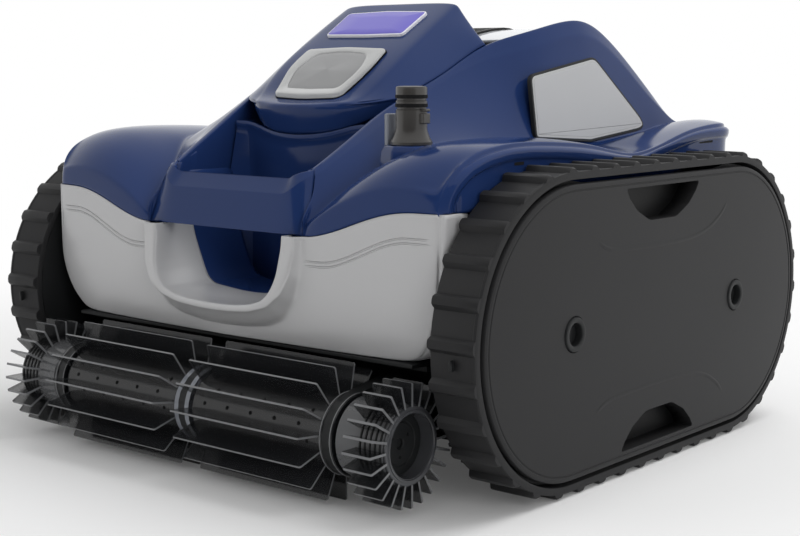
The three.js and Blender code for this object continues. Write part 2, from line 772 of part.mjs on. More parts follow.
// ---------- body shells ----------
const seamRise = (x) => THREE.MathUtils.clamp(follow(seamLine, Math.abs(x))[0], 0, 1);
const seamZ = (x) => skirtDropZ + seamRise(x) * (skirtTopZ - skirtDropZ);

function fenderX(y) {
  const turn = bodyRearY - rearCornerRadius;
  if (y <= turn) return fenderHalfWidth;
  const rise = Math.sqrt(Math.max(rearCornerRadius ** 2 - (y - turn) ** 2, 0));
  return fenderHalfWidth - rearCornerRadius + rise;
}

// Places along the arches where the lid's edge rests on them.
const lidStations = [1, 20, 40, 53, 66];

// One slice of the upper shell's right half: arch wall, flank, deck, lip and side wall.
function shellRing(y) {
  const [ridgeX, ridgeZ] = follow(ridgeLine, y);
  const [footX, footZ] = follow(footLine, y);
  const crownZ = follow(crownLine, y)[0];
  const [creaseZ, lipZ] = follow(lipLine, y);
  const lipX = Math.max(fenderX(y), footX + 12);
  const innerX = ridgeX - ridgeWidth;
  const crownX = footX + (lipX - lipRoll - footX) * crownShare;
  const openZ = y < housingFrontY ? skirtDropZ : Math.min(footZ, ridgeZ) - 9;
  const sideX = lipX - lipStep;
  const points = [
    [innerX, openZ], [innerX, ridgeZ], [ridgeX, ridgeZ], [footX, footZ], [crownX, crownZ],
    [lipX - lipRoll, creaseZ], [lipX, lipZ],
    [lipX, lipZ - lipDepth], [sideX, lipZ - lipDepth], [sideX, skirtTopZ], [sideX - wall, skirtTopZ],
    [sideX - wall, lipZ - wall - 0.5], [crownX, crownZ - wall], [footX - wall * 0.8, footZ - wall],
    [innerX + wall, Math.max(ridgeZ - 5, openZ + 1)], [innerX + wall, openZ],
  ];
  return points.map(([x, z]) => [x, y, z]);
}

function tiltedFlank(outline, from, to) {
  const frame = new THREE.Matrix4().makeBasis(
    new THREE.Vector3(0, 1, 0),
    new THREE.Vector3(-Math.sin(flankTilt), 0, Math.cos(flankTilt)),
    new THREE.Vector3(Math.cos(flankTilt), 0, Math.sin(flankTilt)),
  ).setPosition(flankX, 0, flankZ);
  const flat = outline.map(([y, z]) => [y, (z - flankZ) / Math.cos(flankTilt)]);
  const geometry = new THREE.ExtrudeGeometry(toShape(flat), { depth: to - from, bevelEnabled: false });
  return geometry.translate(0, 0, from).applyMatrix4(frame);
}

// The mouth's closed outline, widened by a distance, with its top edge at a height.
function mouthOutline(distance, topZ) {
  const wide = grown(bothSides(mouthLine), distance);
  return wide.map(([x, z], i) => [x, i === 0 || i === wide.length - 1 ? topZ : z]);
}

function upperShell() {
  const stations = [
    bodyFrontY + 0.5, -73, -64, -50, -38, -26, housingFrontY - 0.2, housingFrontY + 4, ...lidStations, 80, 93,
    ...[150, 129, 110, 95, 82, 69, 53, 36, 22, 11, 3, 0].map((ahead) => bodyRearY - ahead),
  ];
  const half = loft(stations.map(shellRing), [0, 2]);
  const front = bodyFrontY + wall;
  const [footX, footZ] = follow(footLine, front);
  const crownX = footX + (fenderHalfWidth - lipRoll - footX) * crownShare;
  const seam = [58, ...seamStations, fenderHalfWidth - lipStep].reverse().map((x) => [x, seamZ(x)]);
  const face = prism('y', [
    ...seam, [58, footZ + 1], [footX, footZ + 1], [crownX, follow(crownLine, front)[0] - 1],
    [fenderHalfWidth - lipStep, follow(lipLine, front)[1] - 1],
  ].reverse(), bodyFrontY, front + 1.5);
  const bar = prism('x', [
    [bodyFrontY, skirtDropZ], [barBackY, skirtDropZ], [barBackY, 171], [-68.5, 177], [-73, 176.5],
  ], -barHalf, barHalf);
  const liner = cut(
    prism('y', mouthOutline(linerGap + linerWall, skirtDropZ + 2),
      tunnelBackY + seatGap, housingFrontY - seatGap),
    prism('y', mouthOutline(linerGap, skirtDropZ + 5), tunnelBackY - 1, housingFrontY + 1),
  );
  const bossZ = follow(footLine, connectorY)[1] - bossDepth;
  const boss = rodZ(bossZ, connectorZ, connectorX, connectorY, bossRadius, 8);
  const beamBack = hingeBeamY + hingeBeamDepth;
  const beam = box(-hingeBeamHalf, hingeBeamHalf, hingeBeamY, beamBack, hingeBeamLow, hingeBeamHigh);
  const archX = (y) => follow(ridgeLine, y)[0] - ridgeWidth + wall / 2;
  const ledge = prism('z', [
    [archX(ledgeFrontY), ledgeFrontY], [archX(lidRearY), lidRearY], [archX(hingeBeamY), hingeBeamY + 1],
    [ledgeHalf, hingeBeamY + 1], [ledgeHalf, lidRearY + seatGap],
  ], hingeBeamLow, hingeBeamLow + ledgeThick);
  const ears = [-1, 1].map((s) => {
    const x = s * (knuckleSpread + knuckleWidth * 1.5 + hingeSideGap);
    return join(
      rodX(x - knuckleWidth / 2, x + knuckleWidth / 2, hingeY, hingeZ, knuckleRadius, 16),
      prism('x', [
        [hingeY - knuckleRadius / 2, hingeZ - knuckleRadius * 0.7],
        [hingeY + knuckleRadius * 0.7, hingeZ + knuckleRadius * 0.6],
        [beamBack - 1, hingeBeamHigh - 1], [hingeBeamY + 1, (hingeBeamLow + hingeBeamHigh) / 2],
      ],
        x - knuckleWidth / 2, x + knuckleWidth / 2),
    );
  });
  const rearX = fenderX(bodyRearY) + 1;
  const rearWall = box(-rearX, rearX, bodyRearY - wall, bodyRearY, skirtTopZ, rearWallTopZ);
  const windowCut = tiltedFlank(grown(windowLine, windowSeal + 2 * seatGap), -5, 6);
  const body = join(
    half, mirrored(half), face, mirrored(face), bar, liner, boss, beam, ledge, mirrored(ledge),
    ...ears, rearWall,
  );
  return cut(
    body, windowCut, mirrored(windowCut),
    rodX(-70, 70, hingeY, hingeZ, hingePinRadius + seatGap, 16),
  );
}

function sideWindow() {
  return tiltedFlank(windowLine, -wall, 0.4);
}

function windowSealRing() {
  return cut(
    tiltedFlank(grown(windowLine, windowSeal + seatGap), -wall, 0.8),
    tiltedFlank(grown(windowLine, seatGap), -wall - 1, 2),
  );
}

const seamStations = [70, 83, 96, 109, 122, 137, (137 + silverHalfWidth) / 2];
function frontShell() {
  const top = [...seamStations, silverHalfWidth].map((x) => [x, seamZ(x) - seatGap]);
  const face = bothSides([...top, ...silverLine]);
  const seatZ = skirtDropZ - seatGap;
  const tray = cut(
    prism('y', face, bodyFrontY, bodyFrontY + silverReturn),
    prism('y', grown(face, -silverWall), bodyFrontY + silverWall, bodyFrontY + silverReturn + 1),
  );
  const snout = prism('y', bothSides([[58, seatZ], ...snoutLine]), bodyFrontY - snoutProud, bodyFrontY + 1);
  const tunnel = prism('y', mouthOutline(silverWall, seatZ), bodyFrontY, tunnelBackY);
  const mouth = prism('y', mouthOutline(0, skirtDropZ + 8), bodyFrontY - snoutProud - 1, tunnelBackY + 1);
  return cut(join(tray, snout, tunnel), mouth);
}

// The rear shell's sides start behind the rear wheel's gear.
const rearSideY = wheelBase + wheelGearRadius + gearAddendum + 2;
function rearOutline(inset, frontEnd) {
  const r = rearCornerRadius - inset;
  const side = silverHalfWidth - inset;
  const start = Math.asin((frontEnd - (bodyRearY - rearCornerRadius)) / r);
  const points = [];
  for (let i = 0; i <= 8; i += 1) {
    const t = start + (Math.PI / 2 - start) * i / 8;
    points.push([side - r + r * Math.cos(t), bodyRearY - inset - r + r * Math.sin(t)]);
  }
  return bothSides([...points, [0, bodyRearY - inset]]);
}

function rearShell() {
  return cut(
    prism('z', rearOutline(0, rearSideY), silverBottomZ, skirtTopZ - seatGap),
    prism('z', rearOutline(silverWall, rearSideY - 1), silverBottomZ - 1, skirtTopZ),
  );
}

// Thin skin between the arches, following their ridges.
function panelSkin(y0, y1, halfX, drop, thick) {
  const rings = [];
  const steps = 9;
  for (let i = 0; i <= steps; i += 1) {
    const y = y0 + (y1 - y0) * i / steps;
    const [ridgeX, ridgeZ] = follow(ridgeLine, y);
    const x = Math.min(halfX, ridgeX - ridgeWidth - panelGap);
    const z = ridgeZ - drop;
    rings.push([[-x, y, z - thick], [x, y, z - thick], [x, y, z], [-x, y, z]]);
  }
  return loft(rings, [0, 2]);
}

const panelStart = hingeBeamY + hingeBeamDepth + panelGap;
const grilleStart = panelStart + grilleToBeam;
const grilleEnd = grilleStart + grilleLength;
function topPanel() {
  return cut(
    panelSkin(panelStart, bodyRearY - panelToTail, fenderHalfWidth, panelDrop, wall),
    box(-grilleHalf - seatGap, grilleHalf + seatGap, grilleStart - seatGap, grilleEnd + seatGap, 0, 2 * hingeZ),
  );
}

function outletGrille() {
  const half = grilleHalf - grilleBorder;
  const slotCount = Math.floor((grilleLength - 2 * grilleBorder) / grillePitch) + 1;
  const first = (grilleStart + grilleEnd - (slotCount - 1) * grillePitch - grilleSlot) / 2;
  const slots = Array.from({ length: slotCount }, (_, i) => {
    const y = first + i * grillePitch;
    return box(-half, half, y, y + grilleSlot, 0, 2 * hingeZ);
  });
  return cut(panelSkin(grilleStart, grilleEnd, grilleHalf, panelDrop, wall), ...slots);
}

// ---------- filter, pump and motor ----------
function roundedRect(halfX, y0, y1, radius, steps = 4) {
  const points = [];
  const centres = [[halfX - radius, y1 - radius, 0], [-halfX + radius, y1 - radius, 1],
    [-halfX + radius, y0 + radius, 2], [halfX - radius, y0 + radius, 3]];
  for (const [cx, cy, quarter] of centres) {
    for (let i = 0; i <= steps; i += 1) {
      const t = Math.PI / 2 * (quarter + i / steps);
      points.push([cx + radius * Math.cos(t), cy + radius * Math.sin(t)]);
    }
  }
  return points;
}

function filterHousing() {
  const outline = (inset) => roundedRect(
    housingHalfWidth - inset, housingFrontY + inset, housingRearY - inset, housingCorner - inset);
  const inner = outline(wall);
  return cut(
    prism('z', outline(0), housingBottomZ, housingTopZ),
    prism('z', inner, housingBottomZ + wall, housingTopZ + 1),
    box(-inletHalfWidth, inletHalfWidth, inletFrontY, inletFrontY + inletDepth, 0, housingTopZ),
  );
}

const basketHalf = housingHalfWidth - wall - basketGap;
const basketFront = housingFrontY + wall + basketGap;
const basketRear = housingRearY - wall - basketGap;
const basketZ = housingBottomZ + wall + seatGap;
const flapY = inletFrontY + inletDepth + 5;
const flapZ = basketZ + basketLift + basketWall + flapLift + flapPinRadius;
function filterBasket() {
  const floor = basketZ + basketLift;
  const top = basketZ + basketHeight;
  const inside = roundedRect(
    basketHalf - basketWall, basketFront + basketWall, basketRear - basketWall, basketCorner - basketWall);
  const sill = floor + basketSill;
  const shell = cut(
    prism('z', roundedRect(basketHalf, basketFront, basketRear, basketCorner), basketZ, top),
    prism('z', inside, floor + basketWall, top + 1),
    prism('z', inside, basketZ - 1, floor),
  );
  const lugs = [-1, 1].map((s) => {
    const x = s * (inletHalfWidth - 1);
    return box(x - 1.5, x + 1.5, flapY - 3.5, flapY + 3.5, floor + 1, flapZ + 3.5);
  });
  const inner = inletHalfWidth - 4;
  return cut(
    join(shell, ...lugs),
    box(-inner, inner, inletFrontY + 2, inletFrontY + inletDepth - 1, basketZ, floor + 10),
    box(-basketHalf - 1, basketHalf + 1, basketFront + basketPost, basketRear - basketPost,
      sill, top - basketHead),
    box(-basketHalf + basketPost, basketHalf - basketPost, basketRear - basketPost / 2, basketRear + 1,
      sill, top - basketHead),
    rodX(-inletHalfWidth - 2, inletHalfWidth + 2, flapY, flapZ, flapPinRadius + seatGap, 12),
  );
}

function intakeFlap() {
  const half = inletHalfWidth - 3 - seatGap;
  const low = flapZ - flapPinRadius;
  return join(
    box(-half, half, inletFrontY, flapY, low, low + flapThick),
    rodX(-inletHalfWidth - 0.5, inletHalfWidth + 0.5, flapY, flapZ, flapPinRadius, 12),
  );
}

const motorY0 = pumpY - motorLength / 2;
function motorBlock() {
  const y1 = motorY0 + motorLength;
  const low = tubBottomZ + tubFloor + seatGap;
  const body = prism('x', [
    [motorY0, low], [y1, low], [y1, motorTopZ - motorChamfer], [y1 - motorChamfer, motorTopZ],
    [motorY0 + motorChamfer, motorTopZ], [motorY0, motorTopZ - motorChamfer],
  ], -motorHalfWidth, motorHalfWidth);
  const bosses = [-1, 1].map((s) => {
    const [a, b] = [s * (motorHalfWidth - 1), s * (motorHalfWidth + motorBossLength)].sort((p, q) => p - q);
    return rodX(a, b, pinionY, pinionZ, motorBossRadius, 20);
  });
  return join(body, ...bosses);
}

function pumpDuct() {
  const low = motorTopZ + seatGap;
  const tube = prism('z', circle(0, pumpY, ductInnerRadius + ductWall, 28), low, ductTopZ,
    [circle(0, pumpY, ductInnerRadius, 28)]);
  const reach = ductInnerRadius + ductWall + 2;
  const half = ductWindow / 2;
  const sill = low + ductWindowLift;
  return cut(
    tube,
    box(-reach, reach, pumpY - half, pumpY + half, sill, sill + ductWindowHeight),
    box(-half, half, pumpY - reach, pumpY + reach, sill, sill + ductWindowHeight),
  );
}

function impeller() {
  const blades = Array.from({ length: impellerBlades }, (_, i) => {
    const root = impellerHub - 3;
    const blade = new THREE.BoxGeometry(impellerRadius - root, impellerBladeThick, impellerHeight + 2);
    blade.rotateX(THREE.MathUtils.degToRad(impellerBladeTilt));
    blade.translate((impellerRadius + root) / 2 - 1, 0, impellerZ + impellerHeight / 2);
    return blade.rotateZ(2 * Math.PI * i / impellerBlades).translate(0, pumpY, 0);
  });
  const hub = rodZ(impellerZ, impellerZ + impellerHeight, 0, pumpY, impellerHub, 20);
  return cut(
    join(hub, ...blades),
    rodZ(impellerZ - 5, impellerZ + impellerHeight - 4, 0, pumpY, pumpShaftRadius + seatGap, 16),
  );
}

const impellerShaft = () => rodZ(
  motorTopZ + seatGap, impellerZ + impellerHeight - 4 - seatGap, 0, pumpY, pumpShaftRadius, 16);

// ---------- lid ----------
const lidZ = (y) => lidFrontZ + lidSlope * (y - lidFrontY);

function lidRing(y, edge) {
  const top = follow(lidTopLine, y)[0];
  const z = lidZ(y);
  const points = [
    [-edge[0], edge[1]], [-top, z], [top, z], [edge[0], edge[1]],
    [edge[0] - lidThick, edge[1]], [top - 1, z - lidThick], [-top + 1, z - lidThick],
    [-edge[0] + lidThick, edge[1]],
  ];
  return points.map(([x, zz]) => [x, y, zz]);
}

function lidSkin() {
  const rings = [
    lidRing(lidFrontY - 2, [39, lidFrontZ - 4]),
    lidRing(lidFrontY + 7, [54, lidFrontZ - 3.5]),
  ];
  for (const y of lidStations) {
    const [ridgeX, ridgeZ] = follow(ridgeLine, y);
    rings.push(lidRing(y, [ridgeX - lidEdgeInset, ridgeZ + seatGap + 0.2]));
  }
  rings.push(lidRing(78, [62, 266]));
  rings.push(lidRing(lidRearY, [50, 274]));
  return loft(rings, [0, 2]);
}

// Front band under the brow, leaning back to the rim that meets the filter housing.
function lidBand() {
  const brow = [[60.5, 3, 218], [54, -9, 218], [39, -17.5, 218.5], [20, -19.5, 219], [0, -20, 219.5]];
  const rim = [[59, 5, 209], [52, -4, 205], [38, -10, 201], [20, -12.5, 199.5], [0, -13.5, 199]];
  const ring = (line) => {
    const outer = [...line, ...line.slice(0, -1).reverse().map(([x, y, z]) => [-x, y, z])];
    const inner = [...outer].reverse().map(([x, y, z]) => [x * 0.93, y + lidThick, z]);
    return [...outer, ...inner];
  };
  return loft([ring(rim), ring(brow)], [0, 1]);
}

function tiltedLid(outline, from, to) {
  const frame = new THREE.Matrix4().makeRotationX(lidTilt).setPosition(0, lidFrontY, lidFrontZ);
  const flat = outline.map(([x, y]) => [x, (y - lidFrontY) / Math.cos(lidTilt)]);
  const geometry = new THREE.ExtrudeGeometry(toShape(flat), { depth: to - from, bevelEnabled: false });
  return geometry.translate(0, 0, from).applyMatrix4(frame);
}

// Outlines on the lid's top face, given by their depth from front to back: [x, y]
const windowOutline = [[-29, -2], [29, -2], [34.5, 30], [-34.5, 30]];
const badgeOutline = [[-32.5, 47], [32.5, 47], [34, 69], [-34, 69]];
const windowFrame = 5;

function lidBody() {
  const rear = box(-46, 46, lidRearY - 4, lidRearY, hingeZ - 3, lidZ(lidRearY) - 2);
  const knuckles = [-1, 1].map((s) => {
    const [a, b] = [s * knuckleSpread, s * (knuckleSpread + knuckleWidth)].sort((p, q) => p - q);
    return join(
      rodX(a, b, hingeY, hingeZ, knuckleRadius, 16),
      box(a, b, lidRearY - 1, hingeY, hingeZ - 2.8, hingeZ + 2.8),
    );
  });
  return cut(
    join(lidSkin(), lidBand(), rear, ...knuckles),
    tiltedLid(grown(windowOutline, seatGap), -lidThick - 1, 5),
    tiltedLid(grown(badgeOutline, seatGap), -1.5, 5),
    rodX(-70, 70, hingeY, hingeZ, hingePinRadius + seatGap, 16),
  );
}

const lidWindowFrame = () => cut(
  tiltedLid(windowOutline, -lidThick, 1), tiltedLid(grown(windowOutline, -windowFrame), -lidThick - 1, 3));
const lidWindowPane = () => tiltedLid(grown(windowOutline, -windowFrame - seatGap), -lidThick, 0.2);
const badgePlate = () => tiltedLid(badgeOutline, -1.5 + seatGap, 0.4);
const hingePin = () => rodX(
  -knuckleSpread - 2 * knuckleWidth, knuckleSpread + 2 * knuckleWidth, hingeY, hingeZ, hingePinRadius, 12);

// ---------- cable connector ----------
function connector() {
  const base = connectorZ + seatGap;
  const top = base + connectorHeight;
  const latchX = connectorX + connectorRadius;
  const grooves = [upperRingDrop, lowerRingDrop].map((drop) => cut(
    rodZ(top - drop - oRingSection, top - drop + oRingSection, connectorX, connectorY, connectorRadius + 1, 16),
    rodZ(top - drop - 5, top - drop + 5, connectorX, connectorY, connectorRadius - oRingSection, 16),
  ));
  const body = join(
    rodZ(base, base + connectorBase, connectorX, connectorY, connectorFlange, 8),
    rodZ(connectorZ + 1, top, connectorX, connectorY, connectorRadius, 16),
    box(latchX - 2, latchX + latchProud, connectorY - latchWidth / 2, connectorY + latchWidth / 2,
      top - latchDrop, top - latchDrop + latchWidth),
  );
  return cut(body, ...grooves,
    rodZ(top - connectorBoreDepth, top + 1, connectorX, connectorY, connectorBore, 12));
}

function oRing(drop) {
  const z = connectorZ + seatGap + connectorHeight - drop;
  const half = oRingSection - 0.2;
  return prism('z', circle(connectorX, connectorY, connectorRadius + 0.3, 16), z - half, z + half,
    [circle(connectorX, connectorY, connectorRadius - oRingSection + seatGap, 16)]);
}

// ---------- assembly ----------
const frontPhase = toothAt(0, wheelZ, layY, layZ);
const rearPhase = toothAt(wheelBase, wheelZ, pinionY, pinionZ);
add('chassis_tub', chassisTub(), 'charcoal');
addPair('side_frame', sideFrame(), 'charcoal');
addPair('track_belt', trackBelt(), 'rubber');
addPair('front_wheel', wheel(0, frontPhase), 'charcoal');
addPair('rear_wheel', wheel(wheelBase, rearPhase), 'charcoal');
addPair('front_axle', axle(0), 'steel');
addPair('rear_axle', axle(wheelBase), 'steel');
addPair('side_cover', sideCover(), 'charcoal');
addPair('front_cover_bolt', coverBolt(0), 'charcoal');
addPair('rear_cover_bolt', coverBolt(wheelBase), 'charcoal');
addPair('drive_pinion', drivePinion(), 'nylon');
add('brush_layshaft_right', layshaft(-brushShift), 'nylon');
add('brush_layshaft_left', mirrored(layshaft(brushShift)), 'nylon');
addPair('brush_arm', brushArm(), 'charcoal', -brushShift);
add('brush_arm_center', centerArm(), 'charcoal').translateX(-brushShift);
addPair('brush_drum', brushDrum(), 'smoke', -brushShift);
add('brush_paddles_right', paddleSleeve(rightPhase), 'smoke').translateX(-brushShift);
add('brush_paddles_left', paddleSleeve(leftPhase), 'smoke').translateX(-sleeveStart - sleeveEnd - brushShift);
addPair('brush_head', brushHead(), 'smoke', -brushShift);
addPair('brush_end_cap', brushEndCap(), 'charcoal', -brushShift);
add('intake_duct', intakeDuct(), 'charcoal');
add('filter_housing', filterHousing(), 'navy');
add('filter_basket', filterBasket(), 'frost');
add('intake_flap', intakeFlap(), 'rubber');
add('motor_block', motorBlock(), 'charcoal');
add('pump_duct', pumpDuct(), 'charcoal');
add('impeller', impeller(), 'nylon');
add('impeller_shaft', impellerShaft(), 'steel');
add('upper_shell', upperShell(), 'navy');
add('front_shell', frontShell(), 'silver');
add('rear_shell', rearShell(), 'silver');
add('top_panel', topPanel(), 'clear');
add('outlet_grille', outletGrille(), 'charcoal');
addPair('side_window', sideWindow(), 'frost');
addPair('window_seal', windowSealRing(), 'charcoal');
add('lid', lidBody(), 'navy');
add('lid_window_frame', lidWindowFrame(), 'silver');
add('lid_window_pane', lidWindowPane(), 'frost');
add('badge_plate', badgePlate(), 'badge');
add('lid_hinge_pin', hingePin(), 'steel');
add('cable_connector', connector(), 'bronze');
add('upper_o_ring', oRing(upperRingDrop), 'rubber');
add('lower_o_ring', oRing(lowerRingDrop), 'rubber');

// The part's origin is the middle of its footprint on the floor.
const bounds = new THREE.Box3().setFromObject(model);
model.position.set(0, -(bounds.min.y + bounds.max.y) / 2, 0);

export default model;
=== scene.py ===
from math import atan2, cos, hypot, pi, radians, sin, sqrt, tan

import bmesh
import bpy
from mathutils import Matrix, Vector


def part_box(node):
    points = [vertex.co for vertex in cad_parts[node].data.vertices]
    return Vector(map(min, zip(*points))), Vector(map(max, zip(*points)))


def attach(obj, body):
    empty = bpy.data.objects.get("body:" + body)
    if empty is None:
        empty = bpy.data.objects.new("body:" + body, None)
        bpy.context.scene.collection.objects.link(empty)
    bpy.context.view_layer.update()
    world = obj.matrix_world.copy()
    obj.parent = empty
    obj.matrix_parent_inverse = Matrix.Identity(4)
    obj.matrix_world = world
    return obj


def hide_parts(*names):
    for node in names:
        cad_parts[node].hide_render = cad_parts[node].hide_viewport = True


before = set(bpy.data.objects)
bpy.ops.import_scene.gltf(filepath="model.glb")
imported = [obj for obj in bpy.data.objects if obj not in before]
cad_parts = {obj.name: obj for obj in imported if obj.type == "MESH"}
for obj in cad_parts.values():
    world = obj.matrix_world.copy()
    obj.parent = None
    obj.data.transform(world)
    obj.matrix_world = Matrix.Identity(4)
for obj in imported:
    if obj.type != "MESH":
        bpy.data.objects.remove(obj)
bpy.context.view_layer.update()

# ---------- measures, in millimetres ----------
# x = 0 is the middle plane, y = 0 the front wheel axis and z = 0 the pool floor
MM = 0.001
SIDES = ((1, "right"), (-1, "left"))
front_low, front_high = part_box("front_wheel_right")
rear_low, rear_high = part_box("rear_wheel_right")
FRONT_AXIS = (front_low.y + front_high.y) / 2  # in the frame's metres
AXIS_Z = (front_low.z + front_high.z) / 2 / MM
WHEEL_BASE = ((rear_low.y + rear_high.y) / 2 - FRONT_AXIS) / MM

FRONT, TAIL = -79, WHEEL_BASE + 76.2  # faces of the shell
TAIL_CORNER = 40
SEAM_LOW, SEAM_HIGH = 145.3, 163.3  # joint of the navy and silver shells, in the middle and at the sides
FENDER_CREASE_X, FENDER_X = 164, 168
ARM_CORNER_X, ARM_CORNER_Y, ARM_CORNER = 45.5, -63.0, 16.0  # the grip's round corner
ARM_SIDE_X = 66.5  # foot of the arm's outer side, in front
ARM_COLUMNS = 12  # how many of a fender row's points lie on the arm
CONNECTOR = (106.0, -30.0)

BELT_IN, BELT_OUT, BELT_RADIUS = 168.0, 198.0, 90.0
CLEATS = 42
COVER_IN, COVER_OUT, COVER_RADIUS = 194.0, 199.0, 83.7

BRUSH_X = -5.0
BRUSH_AXIS = (-86.4, 39.3)
PADDLES, PADDLE_RADIUS = 15, 39
PADDLE_PHASE = {"right": 12.6, "left": 9.6}
FINS, FIN_RADIUS = 24, 34.5
SLEEVE_START, SLEEVE_END, SLEEVE_RADIUS = 7.5, 110.5, 21.5
HOLE_RADIUS = 1.2
HEAD_LENGTH, HEAD_OUT, HEAD_RADIUS = 36.7, 158.7, 22.5

# rows of (y, x, z): the arms' upper edge and the foot of their outer sides
ridge_line = [
    (-79, 61, 173.5), (-73, 61, 176), (-38, 63, 195), (1, 66, 217), (40, 74.2, 235), (58.5, 77, 245.1),
    (75, 82, 254.1), (101, 95, 262.2), (TAIL - 118, 100.5, 271), (TAIL - 95, 101.5, 267.5),
    (TAIL - 69, 103.6, 253), (TAIL - 36, 108.7, 226), (TAIL - 13, 112.5, 206), (TAIL, 113, 201),
]
foot_line = [
    (-79, 66, 149), (-60, 75, 165), (-40, 85, 178), (-20, 100, 191), (0, 106, 195), (30, 109, 196),
    (80, 115, 193), (TAIL - 129, 115, 190), (TAIL - 85, 115, 193), (TAIL - 46, 115, 197),
    (TAIL - 37, 115, 199), (TAIL, 116, 197),
]
# rows of (y, z): the fender's crown, and the inner crease and outer edge of the band along its side
crown_line = [
    (-79, 171), (-70, 181), (-56, 190), (-30, 198), (0, 200), (40, 199), (71, 196), (100, 192),
    (TAIL - 129, 189), (TAIL - 105, 192.5), (TAIL - 85, 196.5), (TAIL - 60, 201), (TAIL - 37, 203.8),
    (TAIL - 15, 203), (TAIL, 197),
]
crease_line = [
    (-79, 174), (-50, 192.8), (-28, 197.2), (-5, 198.7), (30, 197.6), (69, 194.3), (100, 188.8),
    (118, 186.9), (130, 188), (149, 191.1), (165, 194.8), (190, 199.8), (229, 202.5), (250, 200.5),
    (TAIL, 194),
]
edge_line = [
    (-79, 170), (-50, 188), (-38.7, 191), (-20, 193.9), (-1, 194.5), (24, 193.4), (50, 191.6), (77, 188.5),
    (106, 185.3), (124, 184.8), (139, 188.5), (154.5, 191.1), (190, 197), (230, 198.2), (250, 196.5),
    (TAIL, 190),
]
# the lid's top: half its width and its height, along y
lid_half_width = [
    (-17, 33), (-12, 38), (-5, 42), (3, 44.5), (10, 46.5), (25, 48.5), (47, 48), (66, 47.5), (88, 47),
]
lid_height = [
    (-22, 214.5), (-17, 217.2), (-8, 220), (-1, 222.9), (7, 229.2), (15.5, 236.6), (33.5, 249.6), (47, 257.9),
    (66, 269.4), (88, 282.3),
]


def at(x, y, z):
    return Vector((x * MM, y * MM + FRONT_AXIS, z * MM))


def mix(a, b, t):
    return a + (b - a) * t


def clamp(v, low=0.0, high=1.0):
    return max(low, min(high, v))


def follow(rows, t):
    """Values at t on a smooth curve through rows of (t, value, ...)."""
    i = 0
    while i < len(rows) - 2 and t > rows[i + 1][0]:
        i += 1
    a, b = rows[i], rows[i + 1]
    before, after = rows[max(i - 1, 0)], rows[min(i + 2, len(rows) - 1)]
    span = b[0] - a[0]
    s = clamp((t - a[0]) / span)
    out = []
    for k in range(1, len(a)):
        leaving = (b[k] - before[k]) / (b[0] - before[0]) * span
        arriving = (after[k] - a[k]) / (after[0] - a[0]) * span
        out.append((2 * s**3 - 3 * s**2 + 1) * a[k] + (s**3 - 2 * s**2 + s) * leaving
                   + (3 * s**2 - 2 * s**3) * b[k] + (s**3 - s**2) * arriving)
    return out if len(out) > 1 else out[0]


def evenly(path, count=25):
    """Points at even steps along a path."""
    lengths = [0.0]
    for a, b in zip(path, path[1:]):
        lengths.append(lengths[-1] + hypot(b[0] - a[0], b[1] - a[1]))
    out = []
    for k in range(count):
        reach = lengths[-1] * k / (count - 1)
        i = min(max(j for j, length in enumerate(lengths) if length <= reach + 1e-9), len(path) - 2)
        t = (reach - lengths[i]) / (lengths[i + 1] - lengths[i])
        out.append((mix(path[i][0], path[i + 1][0], t), mix(path[i][1], path[i + 1][1], t)))
    return out


def rounded(outline, radius, steps=5):
    """A closed outline with an arc in each corner. radius is one number, or one for each corner."""
    out = []
    n = len(outline)
    radii = radius if isinstance(radius, list) else [radius] * n
    for i, (p, r) in enumerate(zip(outline, radii)):
        p, a, b = Vector(p), Vector(outline[i - 1]), Vector(outline[(i + 1) % n])
        u, v = (a - p).normalized(), (b - p).normalized()
        half = u.angle(v) / 2
        if half > 1.55:
            out.append(tuple(p))
            continue
        reach = min(r / max(tan(half), 1e-6), 0.48 * (a - p).length, 0.48 * (b - p).length)
        for k in range(steps + 1):
            t = k / steps
            out.append(tuple((1 - t)**2 * (p + u * reach) + 2 * t * (1 - t) * p + t * t * (p + v * reach)))
    return out


def grown(outline, distance):
    """A closed outline moved outwards."""
    n = len(outline)
    area = sum(outline[i - 1][0] * outline[i][1] - outline[i][0] * outline[i - 1][1] for i in range(n))
    sign = 1 if area > 0 else -1
    out = []
    for i, p in enumerate(outline):
        u = (Vector(p) - Vector(outline[i - 1])).normalized()
        v = (Vector(outline[(i + 1) % n]) - Vector(p)).normalized()
        nu, nv = Vector((u.y, -u.x)), Vector((v.y, -v.x))
        m = nu + nv
        m = m.normalized() if m.length > 1e-6 else nu
        out.append(tuple(Vector(p) + m * (sign * distance / max(m.dot(nu), 0.5))))
    return out


def seam_z(x):
    t = clamp((abs(x) - 70) / 67)
    return SEAM_LOW + (SEAM_HIGH - SEAM_LOW) * t * t * (3 - 2 * t)


def front_y(x):
    """Front of both shells in plan, which bows back towards the sides."""
    return FRONT + bow(x)


def bow(x):
    return 5 * (max(abs(x) - 66, 0) / 94) ** 1.8


def lid_z(y):
    return follow(lid_height, y)


# ---------- mesh work ----------
def tidy(bm):
    bmesh.ops.remove_doubles(bm, verts=bm.verts[:], dist=2e-6)
    bmesh.ops.dissolve_degenerate(bm, edges=bm.edges[:], dist=1e-6)
    bmesh.ops.recalc_face_normals(bm, faces=bm.faces[:])
    return bm


